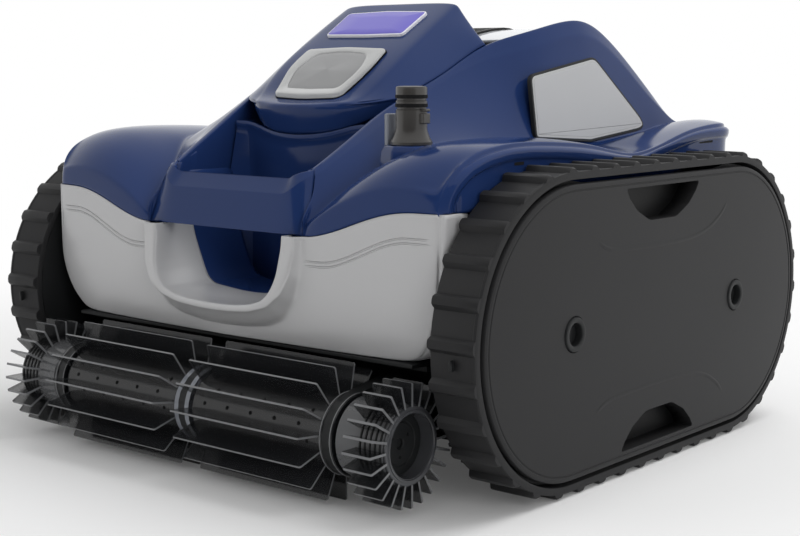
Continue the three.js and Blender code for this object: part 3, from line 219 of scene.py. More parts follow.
def skin(rings, closed=False, caps=False):
    """A grid laid over rings of points, all of one length."""
    bm = bmesh.new()
    rows, cols = len(rings), len(rings[0])
    wide = cols if closed else cols - 1
    bmesh.ops.create_grid(bm, x_segments=wide, y_segments=rows - 1, size=1)
    for v in bm.verts:
        i = round((v.co.y + 1) / 2 * (rows - 1))
        j = round((v.co.x + 1) / 2 * wide)
        v.co = rings[i][j % cols]
    bmesh.ops.remove_doubles(bm, verts=bm.verts[:], dist=2e-6)
    if caps:
        bmesh.ops.holes_fill(bm, edges=[e for e in bm.edges if e.is_boundary], sides=0)
    return tidy(bm)


def slab(points, push):
    """A flat outline of points, pushed along a vector into a solid."""
    bm = bmesh.new()
    bm.faces.new([bm.verts.new(p) for p in points])
    made = bmesh.ops.extrude_face_region(bm, geom=bm.faces[:])["geom"]
    bmesh.ops.translate(bm, verts=[v for v in made if isinstance(v, bmesh.types.BMVert)], vec=push)
    return tidy(bm)


def block(x0, x1, y0, y1, z0, z1):
    corners = [at(x0, y0, z0), at(x1, y0, z0), at(x1, y1, z0), at(x0, y1, z0)]
    return slab(corners, Vector((0, 0, (z1 - z0) * MM)))


def across(outline, x0, x1):
    """A solid from x0 to x1, from an outline of (y, z)."""
    return slab([at(x0, y, z) for y, z in outline], Vector(((x1 - x0) * MM, 0, 0)))


def turned(profile, centre, axis="x", steps=56):
    """A profile of (radius, place along the axis) spun about the axis through centre."""
    bm = bmesh.new()
    a, b = centre
    if axis == "x":
        points, cent, way = [at(p, a + r, b) for r, p in profile], at(0, a, b), (1, 0, 0)
    else:
        points, cent, way = [at(a + r, b, p) for r, p in profile], at(a, b, 0), (0, 0, 1)
    verts = [bm.verts.new(p) for p in points]
    edges = [bm.edges.new(pair) for pair in zip(verts, verts[1:])]
    bmesh.ops.spin(bm, geom=verts + edges, cent=cent, axis=way, angle=2 * pi, steps=steps, use_merge=True)
    return tidy(bm)


def moved(bm, vec):
    bmesh.ops.translate(bm, verts=bm.verts[:], vec=vec)
    return bm


def tipped(bm, angle, axis="X", cent=(0, 0, 0)):
    bmesh.ops.rotate(bm, verts=bm.verts[:], cent=cent, matrix=Matrix.Rotation(angle, 3, axis))
    return bm


def merged(*parts):
    bm = bmesh.new()
    for part in parts:
        held = bpy.data.meshes.new("held")
        part.to_mesh(held)
        bm.from_mesh(held)
        bpy.data.meshes.remove(held)
        part.free()
    return bm


def welded(*parts):
    """Open skins joined along the edges where they meet."""
    bm = merged(*parts)
    bmesh.ops.remove_doubles(bm, verts=bm.verts[:], dist=2e-5)
    bmesh.ops.recalc_face_normals(bm, faces=bm.faces[:])
    return bm


def flipped_side(bm):
    """The same shape on the other side of the middle plane."""
    other = bm.copy()
    bmesh.ops.scale(other, vec=(-1, 1, 1), verts=other.verts[:])
    bmesh.ops.reverse_faces(other, faces=other.faces[:])
    return other


def on_side(bm, side):
    if side > 0:
        return bm
    other = flipped_side(bm)
    bm.free()
    return other


def linked(name, bm):
    """An object in the scene with this shape."""
    mesh = bpy.data.meshes.new(name)
    bm.to_mesh(mesh)
    bm.free()
    obj = bpy.data.objects.new(name, mesh)
    bpy.context.scene.collection.objects.link(obj)
    return obj


def piece(name, bm, finish, slot, stands_for=None, body="chassis", sharp=32, smooth=0, wall=0.0, edge=0.0,
          limit=30):
    """Makes the object of a finished shape, on its body.

    Shading breaks at turns over sharp degrees. smooth is a number of subdivisions, wall the thickness that
    an open skin gets, and edge the width of a bevel at turns over limit degrees.
    """
    obj = linked(name, bm)
    for f in finish if isinstance(finish, list) else [finish]:
        obj.data.materials.append(f.material)
    obj.data.shade_smooth()
    if smooth:
        m = obj.modifiers.new("smooth", "SUBSURF")
        m.levels = m.render_levels = smooth
    else:
        obj.data.set_sharp_from_angle(angle=radians(sharp))
    if wall:
        m = obj.modifiers.new("wall", "SOLIDIFY")
        m.thickness, m.offset = wall * MM, -1
    if edge:
        m = obj.modifiers.new("edges", "BEVEL")
        m.width, m.segments, m.limit_method = edge * MM, 2, "ANGLE"
        m.angle_limit, m.harden_normals = radians(limit), False
    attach(obj, body)
    if stands_for:
        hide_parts(stands_for)


# ---------- finishes ----------
def tone(r, g, b):
    """Display values from 0 to 255 as a linear colour."""
    return (*(((c / 255 + 0.055) / 1.055) ** 2.4 for c in (r, g, b)), 1.0)


class Wire:
    """A shader value that takes part in ordinary arithmetic."""

    def __init__(self, shading, socket):
        self.shading, self.socket = shading, socket

    def _math(self, kind, a, b=0.0):
        return self.shading.node("ShaderNodeMath", {"operation": kind}, {0: a, 1: b})

    def __add__(self, other):
        return self._math("ADD", self, other)

    def __radd__(self, other):
        return self._math("ADD", other, self)

    def __sub__(self, other):
        return self._math("SUBTRACT", self, other)

    def __rsub__(self, other):
        return self._math("SUBTRACT", other, self)

    def __mul__(self, other):
        return self._math("MULTIPLY", self, other)

    def __rmul__(self, other):
        return self._math("MULTIPLY", other, self)

    def __abs__(self):
        return self._math("ABSOLUTE", self)

    def least(self, other):
        return self._math("MINIMUM", self, other)

    def ramp(self, low, high, to_low=0.0, to_high=1.0):
        return self.shading.node("ShaderNodeMapRange", {"interpolation_type": "SMOOTHSTEP"},
                                 {0: self, 1: low, 2: high, 3: to_low, 4: to_high})


class Shading:
    """A node tree, with one method that adds a node of any kind."""

    def __init__(self, tree):
        self.tree = tree

    def put(self, made, values):
        for key, value in values.items():
            if isinstance(value, Wire):
                self.tree.links.new(value.socket, made.inputs[key])
            else:
                made.inputs[key].default_value = value

    def node(self, kind, settings=None, values=None, out=0):
        made = self.tree.nodes.new(kind)
        for key, value in (settings or {}).items():
            setattr(made, key, value)
        self.put(made, values or {})
        return Wire(self, made.outputs[out])

    def looked_at(self):
        """1 where the camera looks, straight or by way of metal and glass, and 0 where light falls."""
        kinds = ("Is Camera Ray", "Is Glossy Ray", "Is Transmission Ray")
        straight, mirrored, through = (self.node("ShaderNodeLightPath", out=kind) for kind in kinds)
        return (straight + mirrored + through).least(1.0)


class Finish(Shading):
    """A Principled surface whose patterns sit on Object coordinates."""

    def __init__(self, name, color, roughness, specular=0.5, coat=0.0, coat_roughness=0.03, metallic=0.0,
                 alpha=1.0):
        self.material = bpy.data.materials.new(name)
        self.material.use_nodes = True
        self.material.diffuse_color = color
        super().__init__(self.material.node_tree)
        self.shader = self.tree.nodes["Principled BSDF"]
        self.put(self.shader, {
            "Base Color": color, "Roughness": roughness, "Specular IOR Level": specular, "Metallic": metallic,
            "Coat Weight": coat, "Coat Roughness": coat_roughness, "Alpha": alpha,
        })
        self.color, self.roughness = color, roughness
        self.place = self.node("ShaderNodeTexCoord", out="Object")

    def axes(self):
        """Object coordinates as x, y and z in millimetres, y from the front wheel axis."""
        x, y, z = (self.node("ShaderNodeSeparateXYZ", {}, {0: self.place}, k) for k in range(3))
        return x * (1 / MM), (y - FRONT_AXIS) * (1 / MM), z * (1 / MM)

    def noise(self, scale):
        return self.node("ShaderNodeTexNoise", {}, {"Vector": self.place, "Scale": scale, "Detail": 2.0,
                                                     "Roughness": 0.55})

    def blend(self, factor, a, b):
        return self.node("ShaderNodeMix", {"data_type": "RGBA"}, {0: factor, 6: a, 7: b}, 2)

    def bump(self, height, distance, **under):
        values = {"Height": height, "Distance": distance, "Strength": 1.0, **under}
        return self.node("ShaderNodeBump", {}, values)

    def moulded(self, grain, depth, spread, tint):
        """Fine grain, slow waves in the gloss and slightly uneven colour. Gives the grain's normal."""
        slow, fine = self.noise(14.0), self.noise(grain)
        darker, lighter = ((*(min(1.0, c * (1 + t)) for c in self.color[:3]), 1.0) for t in (-tint, tint))
        normal = self.bump(fine, depth)
        self.put(self.shader, {
            "Base Color": self.blend(slow, darker, lighter),
            "Roughness": self.roughness - spread / 2 + slow * spread + fine * (spread * 0.4),
            "Normal": normal,
        })
        return normal


navy = Finish("navy_gloss", tone(32, 52, 98), 0.13, specular=0.2)
silver = Finish("silver_satin", tone(184, 184, 185), 0.3, metallic=0.1, coat=0.15, coat_roughness=0.15)
charcoal = Finish("charcoal_cover", tone(38, 38, 39), 0.45, specular=0.18)
dark = Finish("dark_moulding", tone(30, 31, 32), 0.45, specular=0.22)
rubber = Finish("track_rubber", tone(36, 36, 37), 0.5, specular=0.2)
# black: the o-rings' own colour, and painted shade in the window's gap, the fender's slots and the drum's
# holes
black = Finish("black_and_painted_gap_shade", tone(14, 14, 15), 0.7, specular=0.2)
collar_black = Finish("collar_black", tone(24, 25, 27), 0.22)
smoke = Finish("smoky_blade", tone(40, 41, 43), 0.12, specular=0.4, alpha=0.72)
# painted highlight: a lighter grey for the blades' thin edge faces and the collar's two lines
smoke_painted_highlight = Finish("smoky_blade_painted_highlight", tone(116, 117, 119), 0.25, alpha=0.92)
smoke_clear = Finish("smoky_clear", tone(92, 93, 95), 0.12, alpha=0.8)
smoke_core = Finish("smoky_drum", tone(38, 39, 41), 0.14, alpha=0.85)
smoke_rim = Finish("smoky_rim", tone(72, 73, 76), 0.2)
milky = Finish("milky_panel", tone(222, 225, 230), 0.16, coat=0.3)
frosted = Finish("frosted_pane", tone(172, 173, 175), 0.3, coat=0.2)
frost_rim = Finish("frosted_rim", tone(172, 173, 173), 0.2, coat=0.4)
lens = Finish("grey_lens", tone(126, 127, 128), 0.24, coat=0.4)
violet = Finish("violet_label", tone(94, 84, 190), 0.3, coat=0.2)
white_line = Finish("white_line", tone(228, 228, 234), 0.35)
bronze = Finish("connector_grey_brown", tone(56, 54, 52), 0.3, coat=0.1)
steel = Finish("turned_steel", tone(176, 178, 181), 0.28, metallic=1.0)
nylon = Finish("natural_nylon", tone(208, 204, 192), 0.4)
clear_rib = Finish("clear_rib", tone(138, 142, 150), 0.18, alpha=0.85)

for finish in (navy, frosted, frost_rim, lens, milky, violet, white_line):
    finish.moulded(1400.0, 0.000004, 0.04, 0.03)
for finish in (charcoal, dark, black, collar_black, smoke_rim):
    finish.moulded(1100.0, 0.00003, 0.08, 0.05)
for finish in (smoke, smoke_painted_highlight, smoke_core, smoke_clear, clear_rib):
    finish.moulded(300.0, 0.000003, 0.05, 0.1)
for finish in (bronze, nylon):
    finish.moulded(700.0, 0.00001, 0.06, 0.08)
rubber.moulded(800.0, 0.00005, 0.1, 0.08)
steel.moulded(500.0, 0.00001, 0.1, 0.04)

# painted shade: the cover's hand holds are painted darker towards their floor
GRIP_FLOOR_X, GRIP_LIP_X = 186.0, 196.5
hold_painted_shade = abs(charcoal.axes()[0]).ramp(GRIP_FLOOR_X, GRIP_LIP_X)
speckle = charcoal.blend(charcoal.noise(14.0), tone(36, 36, 37), tone(40, 40, 41))
charcoal.put(charcoal.shader, {"Base Color": charcoal.blend(hold_painted_shade, tone(12, 12, 13), speckle)})

# a double groove pressed into the silver face, a little under the joint
GROOVE_LOW, GROOVE_RISE, GROOVE_GAP = 131.2, 17.9, 2.6
silver_grain = silver.moulded(1500.0, 0.000004, 0.05, 0.02)
x, y, z = silver.axes()
above = z - (abs(x).ramp(79.0, 141.0) * GROOVE_RISE + GROOVE_LOW)
reach = abs(x).ramp(66.0, 74.0) * abs(x).ramp(150.0, 157.0, 1.0, 0.0) * y.ramp(-66.0, -62.0, 1.0, 0.0)
lines = abs(above).ramp(0.15, 0.75, 1.0, 0.0) + abs(above + GROOVE_GAP).ramp(0.15, 0.75, 1.0, 0.0)
silver.put(silver.shader, {"Normal": silver.bump((lines * reach) * -1.0, 0.6 * MM, Normal=silver_grain)})

# CAD pieces that show as they are
shown = {
    "chassis_tub": dark, "side_frame": dark, "front_wheel": dark, "rear_wheel": dark, "front_axle": steel,
    "rear_axle": steel, "drive_pinion": dark, "brush_layshaft": dark, "brush_arm": dark,
    "brush_arm_center": dark, "intake_duct": dark, "intake_flap": rubber, "motor_block": dark,
    "pump_duct": dark, "impeller": nylon, "impeller_shaft": steel, "outlet_grille": dark,
    "lid_hinge_pin": steel, "upper_o_ring": black, "lower_o_ring": black, "rear_shell": silver,
}
for name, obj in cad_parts.items():
    stem = name.removesuffix("_right").removesuffix("_left")
    if stem in shown:
        obj.data.materials.clear()
        obj.data.materials.append(shown[stem].material)


# ---------- fenders and arms ----------
def tail_inset(y):
    """How far the side has come in on the round corner at the tail."""
    past = max(y - (TAIL - TAIL_CORNER), 0)
    return TAIL_CORNER - sqrt(max(TAIL_CORNER**2 - past**2, 0))


def fender_columns(y):
    """Points (x, z) of the shell from the arm's inner wall to the fender's outer crease."""
    ridge_x, ridge_z = follow(ridge_line, y)
    foot_x, foot_z = follow(foot_line, y)
    crown_z, crease_z = follow(crown_line, y), follow(crease_line, y)
    edge_x = FENDER_CREASE_X - tail_inset(y)

    def top(f):
        """On the parabola from the foot over the crown, at two fifths of the way, to the crease."""
        rise = crease_z * f * (f - 0.4) / 0.6 - crown_z * f * (f - 1) / 0.24
        return (mix(foot_x, edge_x, f), foot_z * (f - 0.4) * (f - 1) / 0.4 + rise)

    def flank(s):
        return (mix(ridge_x, foot_x, s), mix(ridge_z, foot_z, s))

    low = 144 if y < -14 else min(foot_z, ridge_z) - 9
    fall = max(ridge_z - foot_z, 4.0)
    wide = clamp((y - 45) / 40)
    bevel = min(mix(2.4, 9.5, wide), fall * 0.3)
    inner, outer = ridge_x - 5, ridge_x - mix(0.8, 2.2, wide)
    s = bevel / fall
    rim = [
        (inner, low), (inner, ridge_z - 2.4), (inner + 0.4, ridge_z - 0.5), (inner + 1.2, ridge_z),
        (outer - 0.5, ridge_z), (outer + 0.2, ridge_z - 0.3),
        (mix(outer, flank(s)[0], 0.84), ridge_z - bevel * 0.84),
    ]
    side = [flank(share) for share in (s, s + 0.05, max(0.42, s + 0.1), 0.72, 1 - min(3.2 / fall, 0.2))]
    return rim + side + [top(share) for share in (0, 0.05, 0.2, 0.45, 0.7, 0.9, 0.975, 1)]


def behind_grip(x, z, low):
    """Front of the arm's outer side, which runs back under the grip's round corner as it climbs."""
    if x >= ARM_SIDE_X:
        return front_y(x)
    share = clamp((z - low) / (181 - low))
    return mix(-77.8, -59.4, share ** 1.15) + (1.5 if x < 60 else 0)


def side_wall(x, y, z, away, crease, turn=0.0):
    """The fender's rolled lip: a groove at the crease, the roll, its underside and the wall under it."""
    out_x, out_y = sqrt(max(1 - turn * turn, 0.0)), turn
    points = []
    for share, drop in ((0.06, 1.1), (0.2, 1.9), (0.45, 0.2), (0.8, -0.1)):
        points.append((mix(crease[0], x, share), mix(crease[1], y, share), mix(crease[2], z, share) - drop))
    points.append((x, y, z))
    for reach, inset in ((1.2, 0.0), (4.4, 0.5), (5.2, 1.8), (7.2, 2.3)):
        height = max(z + away[1] * reach, SEAM_HIGH)
        points.append((x - inset * out_x, y + away[0] * reach - inset * out_y, height))
    wall_x, wall_y, wall_z = points[-1]
    return points + [(wall_x, wall_y, mix(wall_z, SEAM_HIGH, share)) for share in (0.5, 1.0)]


def front_rings():
    """The front face, from the joint up."""
    rows = [
        (0.0, (159.6, -73.4, 163.4), (163.6, -68.6, 163.4)),
        (0.5, (159.7, -73.1, 168.5), (163.8, -68.2, 167.2)),
        (0.94, (160.0, -72.4, 172.6), (164.2, -67.5, 170.6)),
    ]
    rings = []
    for share, crease, edge in rows:
        ring = []
        for j, (x, z) in enumerate(fender_columns(FRONT)):
            low = seam_z(x)
            if j < ARM_COLUMNS:
                x, z = fender_columns(max(FRONT, behind_grip(x, z, low)))[j]
            x = mix(x, x * 0.974, clamp((x - 100) / 60))
            height = mix(low, max(z, low + 0.6), share)
            ring.append((x - 1.3 * clamp((ARM_SIDE_X - x) / 3), behind_grip(x, height, low), height))
        rings.append(ring[:-1] + [crease] + side_wall(*edge, (1.0, -0.15), crease))
    return rings


def bend_rings():
    """The bend from the front face onto the fender's top."""
    rows = [
        (-78.2, (160.6, -70.8, 177.4), (164.8, -66.4, 173.6), (0.8, -0.6)),
        (-75, (161.6, -68.4, 181.2), (165.6, -64.9, 176.8), (0.8, -0.6)),
        (-69, (162.6, -64.8, 185), (166.5, -62.4, 180), (0.45, -0.9)),
        (-60, (163.5, -58.8, 189.4), (167.4, -57.8, 184.2), (0.45, -0.9)),
    ]
    rings = []
    for n, (y, crease, edge, slope) in enumerate(rows):
        ring = []
        for j, (x, z) in enumerate(fender_columns(y)):
            x = mix(x, x * crease[0] / FENDER_CREASE_X, clamp((x - 100) / 60))
            if x < ARM_SIDE_X:
                back = max(y, behind_grip(x, z, SEAM_LOW) + 0.6 * (n + 1))
                x, z = fender_columns(back)[j]
                x -= 0.7 * clamp((ARM_SIDE_X - x) / 3) * (1 - n / 4)
            else:
                back = y + bow(x) * (3 - n) / 3
            ring.append((x, mix(back, crease[1], clamp((x - 130) / 34) ** 2), z))
        rings.append(ring[:-1] + [crease] + side_wall(*edge, slope, crease))
    return rings


def long_rings():
    """The long stretch behind the bend, to the round corner at the tail."""
    stations = [-50, -40, -29, -18, -8, *range(4, 117, 14), *range(128, 177, 12), *range(190, 219, 14)]
    stations += [TAIL - d for d in (38, 30, 22, 15, 9, 4, 1.2, 0)]
    rings = []
    for y in stations:
        ring = [(x, y, z) for x, z in fender_columns(y)]
        turn = max(y - (TAIL - TAIL_CORNER), 0) / TAIL_CORNER
        edge = (FENDER_X - tail_inset(y), y, follow(edge_line, y))
        rings.append(ring + side_wall(*edge, (0.0, -1.0), ring[-1], turn))
    return rings


def fender(side):
    rings = front_rings() + bend_rings() + long_rings()
    return on_side(skin([[at(*p) for p in ring] for ring in rings]), side)


# ---------- grip, well and filter ----------
def grip_section(outer, foot, way, bevel, top, low, thick, lean):
    """Points from the inner bottom over the top to the outer bottom, at a place on the outer path."""
    corners = [(thick, low + 1.0), (thick, top - 2.6), (thick - 2.6, top + 0.2), (lean[1], top),
               (lean[0], bevel), (0, low)]
    points = []
    for n, z in rounded(corners, [0.8, 1.2, 1.2, 0.9, 1.1, 1.0], 3):
        down = clamp((bevel - z) / (bevel - low)) * clamp(1 - n / 3)
        x, y = (mix(outer[k] - way[k] * n, foot[k], down) for k in (0, 1))
        points.append(at(x, y, z))
    return points


def handle_bar():
    """The grip across the front: bevelled above, turning into both arms with round corners."""
    half = []
    for x in (0, 14, 28, 40, 44.5):
        half.append(grip_section((x, FRONT), (x, FRONT), (0, -1), 168, 176.6, SEAM_LOW, 13, (3.6, 10.8)))
    for k in range(1, 9):
        turn = pi / 2 * k / 8
        s = (1 - cos(turn * 2)) / 2
        way = (sin(turn), -cos(turn))
        outer = (ARM_CORNER_X + ARM_CORNER * way[0], ARM_CORNER_Y + ARM_CORNER * way[1])
        foot = (mix(44.5, 69.5, (k / 8) ** 0.9), mix(-79.0, -78.5, k / 8))
        half.append(grip_section(outer, foot, way, mix(168, 178.6, s), mix(176.6, 181.2, s), SEAM_LOW,
                                 mix(13, 6, s), (mix(3.6, 0.6, s), mix(10.8, 2.2, s))))
    for y, sink in ((-58, -0.35), (-53, 0.2), (-46, 0.9)):
        x, z = follow(ridge_line, y)
        outer = (x - sink, y)
        half.append(grip_section(outer, outer, (1, 0), z - 3.0 - sink, z - 0.1 - sink, 152, 4.6, (0.4, 1.6)))
    left = [[Vector((-p.x, p.y, p.z)) for p in ring] for ring in reversed(half[1:])]
    return skin(left + half, closed=True, caps=True)


def well():
    """The navy trough behind the mouth and between the arms."""
    half = [(57.5, 176), (57.2, 150), (55, 143), (51, 133), (46, 121), (41.5, 111), (36, 106), (22, 103.6),
            (8, 102.8), (0, 102.6)]
    outline = half + [(-x, z) for x, z in reversed(half[:-1])]
    return skin([[at(x, y, z) for x, z in outline] for y in (-54, -53, -44, -34, -24, -14.5)])


def bucket():
    """Filter housing: a bowed front wall between the arms, with a raised rim that climbs towards them."""
    plan = [(0, -15.5), (7, -15.4), (14, -14.8), (21, -13.8), (28, -12.4), (35, -10.9), (42, -9.8),
            (49, -9.4), (49.8, -9.4), (57.3, -10.6), (57.4, 10), (57.4, 40), (57.4, 78), (30, 78), (0, 78)]
    rim = [(0, 198.5), (12.6, 199), (22.7, 200.2), (31.8, 202), (40, 204.2), (48, 205.6), (57.4, 206)]

    def ring(grow, drop=0, low=None):
        """The plan made smaller by grow, at drop under the rim or at the height low."""
        out = []
        for x, y in plan:
            z = follow(rim, x) - drop if low is None else low
            deep = clamp((204 - z) / 34)
            lean = 4.0 * deep * (x / 57) ** 2 - 12 * deep * clamp((x - 49) / 8.3)
            scale = 1 - (0 if y > 70 else grow / 57 * 0.3)
            out.append((x * scale, (y + lean + grow) if y < 0 else y, z))
        return [at(x, y, z) for x, y, z in out] + [at(-x, y, z) for x, y, z in reversed(out[1:-1])]

    outside = [ring(0.6, low=z) for z in (84.3, 130, 175)]
    lip = [ring(*row) for row in ((0.6, 9), (0.5, 4.6), (0, 3.6), (-0.4, 2.4), (-0.4, 0.8), (0.1, 0),
                                  (1.6, 0), (2.6, 1.2), (2.8, 8))]
    return skin(outside + lip + [ring(3, low=z) for z in (130, 88)], closed=True)


def basket():
    """The filter basket: an open tray with upright ribs, narrower at its front corners."""
    corners = [(-30, -4.6), (30, -4.6), (47, 5), (50, 22), (51, 84), (-51, 84), (-50, 22), (-47, 5)]
    plan = rounded(corners, [8, 8, 8, 5, 4, 4, 5, 8], 4)
    rows = ((-0.6, 87.2), (0, 88), (0, 176), (0.6, 177), (0.6, 180.2), (-2.2, 180.2), (-2.2, 90.4))
    tray = skin([[at(x, y, z) for x, y in grown(plan, grow)] for grow, z in rows], closed=True, caps=True)
    ribs = [block(x - 0.8, x + 0.8, y - 0.8, y + 0.8, 92, 176) for x, y in grown(plan, 0.5)[::3]]
    return merged(tray, *ribs)


def tail_wall():
    outline = [(TAIL - 3, SEAM_HIGH), (TAIL, SEAM_HIGH), (TAIL, 198.5), (TAIL - 2.5, 200.8),
               (TAIL - 6, 200.6), (TAIL - 3, 193)]
    section = rounded(outline, [0.4, 0.4, 1.6, 1.0, 1, 1], 4)
    rings = [[at(x, y, z) for y, z in section] for x in (-130, -110, -60, 0, 60, 110, 130)]
    return skin(rings, closed=True, caps=True)


def top_panel():
    """Pale panel over the back, with an opening for the outlet grille."""
    rows = [99, 103, 107, 113, 122, 134, 147, 158, 171, 180, 196, 212, 229, 244, 256]
    grille = 41

    def point(x, y, side=1):
        ridge_x, ridge_z = follow(ridge_line, y)
        dip = 1.3 * clamp((y - 120) / 30) * clamp((190 - y) / 30)
        return at(side * x, y, ridge_z - 3.4 - dip - 1.2 * (1 - (x / ridge_x) ** 2))

    parts = []
    for side in (1, -1):
        strip = []
        for y in rows:
            rim = follow(ridge_line, y)[0] - 5.2
            strip.append([point(mix(grille, rim, k / 6), y, side) for k in range(7)])
        parts.append(skin(strip))
    for band_rows in (rows[:3], rows[8:]):
        parts.append(skin([[point(x, y) for x in (-grille, -20, 0, 20, grille)] for y in band_rows]))
    bm = welded(*parts)
    if sum(f.normal.z for f in bm.faces) < 0:
        bmesh.ops.reverse_faces(bm, faces=bm.faces[:])
    return bm


for side, word in SIDES:
    piece(f"fender_skin_{word}", fender(side), navy, "navy_plastic", "upper_shell", smooth=2, wall=1.6)
piece("handle_bar", handle_bar(), navy, "navy_plastic", sharp=40)
piece("hand_well", well(), navy, "navy_plastic", smooth=2, wall=1.5)
piece("filter_bucket", bucket(), navy, "navy_plastic", "filter_housing", sharp=42)
piece("tail_wall", tail_wall(), navy, "navy_plastic", sharp=50)
piece("filter_tray", basket(), frosted, "frosted_window", "filter_basket", sharp=40)
piece("top_skin", top_panel(), milky, "clear_panel", "top_panel", sharp=50, wall=2.0, edge=0.5, limit=60)

# ---------- cable connector ----------
boss = turned([(0, 180), (19, 180), (17.5, 193), (15.5, 196.2), (0, 196.2)], CONNECTOR, "z", 8)
piece("connector_boss", boss, navy, "navy_plastic", edge=0.8, sharp=25)
connector = turned([
    (0, 196.7), (12, 196.7), (12, 198.2), (10.4, 201), (9.2, 204.5), (9, 206), (9, 216.2), (8.4, 216.6),
    (8.4, 218.6), (9, 219), (9, 221.2), (8.4, 221.6), (8.4, 223.6), (9, 224), (9, 228.6), (8.6, 229.4),
    (7.4, 229.7), (6.2, 229.4), (6, 228.8), (6, 212), (0, 212)], CONNECTOR, "z", 48)
piece("connector_body", connector, bronze, "connector_plastic", "cable_connector", sharp=28)
latch = merged(block(112.5, 117.4, -33, -27, 208.6, 214.4), block(113, 118, -32.2, -27.8, 215.4, 217))
piece("connector_latch", latch, bronze, "connector_plastic", edge=0.5)
piece("connector_rib", block(90.5, 93.5, -36, -24, 193, 214), clear_rib, "clear_panel", edge=0.8)

# ---------- silver front shell ----------
# outlines of (x, z) from the joint down to the middle: the tunnel's back, the mouth, the raised lip's outer
# edge, the snout's foot on the face, and the face's own edge
tunnel = evenly([(53.5, SEAM_LOW), (51, 136), (47.5, 127.5), (43, 117.5), (39, 109.8), (33.5, 106.4),
                 (20, 105.2), (8, 104.2), (0, 104)])
mouth = evenly([(54, SEAM_LOW), (53, 134), (52, 122), (48.5, 113), (42.5, 107.3), (33, 104), (20, 102.4),
                (8, 101.8), (0, 101.8)])
brim = evenly([(65, SEAM_LOW), (64.4, 134), (62, 122), (57, 111.5), (46, 103), (31, 99), (14, 97.6),
               (0, 97.3)])
snout = evenly([(66, SEAM_LOW), (66.4, 134), (65, 121), (59, 108), (48.5, 96.4), (36, 90.9), (18, 88.3),
                (0, 87.7)])
face_edge = evenly([(158.6, SEAM_HIGH - 0.3), (158.8, 140), (158.4, 116), (154.5, 100), (147.5, 86),
                    (141, 81), (128, 80.8), (82, 80.8), (40, 80.8), (0, 80.8)])


def lip_y(z):
    return mix(-88.8, -84.2, clamp((z - 112) / 26))


def face_y(x, z):
    """The silver face in plan, which also tucks under towards its lower corners."""
    low = clamp((118 - z) / 40)
    return front_y(x) + (2.5 + 5 * clamp(abs(x) / 160)) * low ** 2


def mouth_rings():
    """Rings from the tunnel's back to the mouth, over its raised lip and down the snout's side."""
    rings = []
    for t in (0, 0.2, 0.55, 0.86, 0.975):
        rings.append([(mix(a, c, t), mix(-54.2, lip_y(d) + 0.8, t), mix(b, d, t))
                      for (a, b), (c, d) in zip(tunnel, mouth)])
    for t, proud in ((0.03, 0.2), (0.12, -0.5), (0.5, -0.9), (0.9, -0.5), (1.0, 0.1)):
        rings.append([(mix(a, c, t), lip_y(b) + proud, mix(b, d, t)) for (a, b), (c, d) in zip(mouth, brim)])
    for t in (0.08, 0.5, 0.93):
        rings.append([(mix(a, c, t), mix(lip_y(z) + 0.6, -79.8, t), mix(b, d, t))
                      for (a, b), (c, d), (_, z) in zip(brim, snout, mouth)])
    return rings


def turned_in_rings():
    """The face's edge: a groove and a deep return at the sides, a thin return along the bottom."""
    outwards = []
    for k, (x, z) in enumerate(face_edge):
        a, b = Vector(face_edge[max(k - 1, 0)]), Vector(face_edge[min(k + 1, len(face_edge) - 1)])
        n = Vector(((b - a).y, -(b - a).x)).normalized()
        if n.x * x + n.y * (z - 120) < 0:
            n = -n
        if z > 158:
            n = Vector((1, 0))
        elif x < 1:
            n = Vector((0, -1))
        outwards.append(n)
    rings = []
    # (out, back) at the sides, then along the bottom
    for (wide, deep), (low, under) in (
            ((0.9, 0.2), (0.1, 0.3)), ((1.3, 1.6), (0.3, 1.0)), ((2.4, 1.7), (0.4, 1.8)),
            ((3.6, 1.3), (0.5, 3)), ((5.0, 2.4), (0.5, 5)), ((5.6, 5), (0.5, 8)), ((5.6, 10), (0.5, 12)),
            ((5.6, 26), (0.5, 16))):
        ring = []
        for (x, z), n in zip(face_edge, outwards):
            side = n.x ** 2
            out = mix(low, wide, side)
            ring.append((x + n.x * out, face_y(x, z) + mix(under, deep, side), z + n.y * out))
        rings.append(ring)
    return rings


def silver_face():
    rings = mouth_rings()
    for share in (0.02, 0.1, 0.3, 0.5, 0.72, 0.9, 0.985):
        places = [(mix(a, c, share), mix(b, d, share)) for (a, b), (c, d) in zip(snout, face_edge)]
        rings.append([(x, face_y(x, z), z) for x, z in places])
    rings += turned_in_rings()
    # the top line of every ring follows the joint under the navy shell
    for ring in rings:
        x, y, _ = ring[0]
        ring[0] = (x, y, seam_z(x) - 0.3)
    half = skin([[at(*p) for p in ring] for ring in rings])
    return welded(flipped_side(half), half)


piece("silver_front", silver_face(), silver, "silver_plastic", "front_shell", smooth=2, wall=1.8)


# ---------- lid ----------
def lid_front_rows():
    """The lid's hanging front, from its lower rim up to the brow."""
    rows = [
        [(0, -15.4, 198.9), (20, -13.5, 199.9), (33, -9.3, 202.4), (43, -3.2, 205.8), (58, 8, 214.5)],
        [(0, -17.2, 206), (20, -15.5, 206.5), (33.4, -11.4, 208), (42.6, -6.6, 210.4), (59.3, 8.4, 216.4)],
        [(0, -18.7, 211), (20, -17.1, 211.4), (33.5, -13, 212.4), (42.4, -8.2, 213.9), (60.3, 8.3, 217.8)],
        [(0, -19.5, 214.6), (20, -17.9, 214.8), (33.5, -13.7, 215.2), (42.2, -8.9, 216), (61.2, 8.2, 218.8)],
        [(0, -19.2, 217.3), (20, -17.4, 217.2), (33, -13, 217.2), (41.4, -8.5, 217.4), (61.8, 8, 219.6)],
    ]
    finer = []
    for row in rows:
        halfway = [tuple(mix(a, b, 0.5) for a, b in zip(p, q)) for p, q in zip(row, row[1:])]
        finer.append([p for pair in zip(row, halfway) for p in pair] + row[-1:])
    return finer


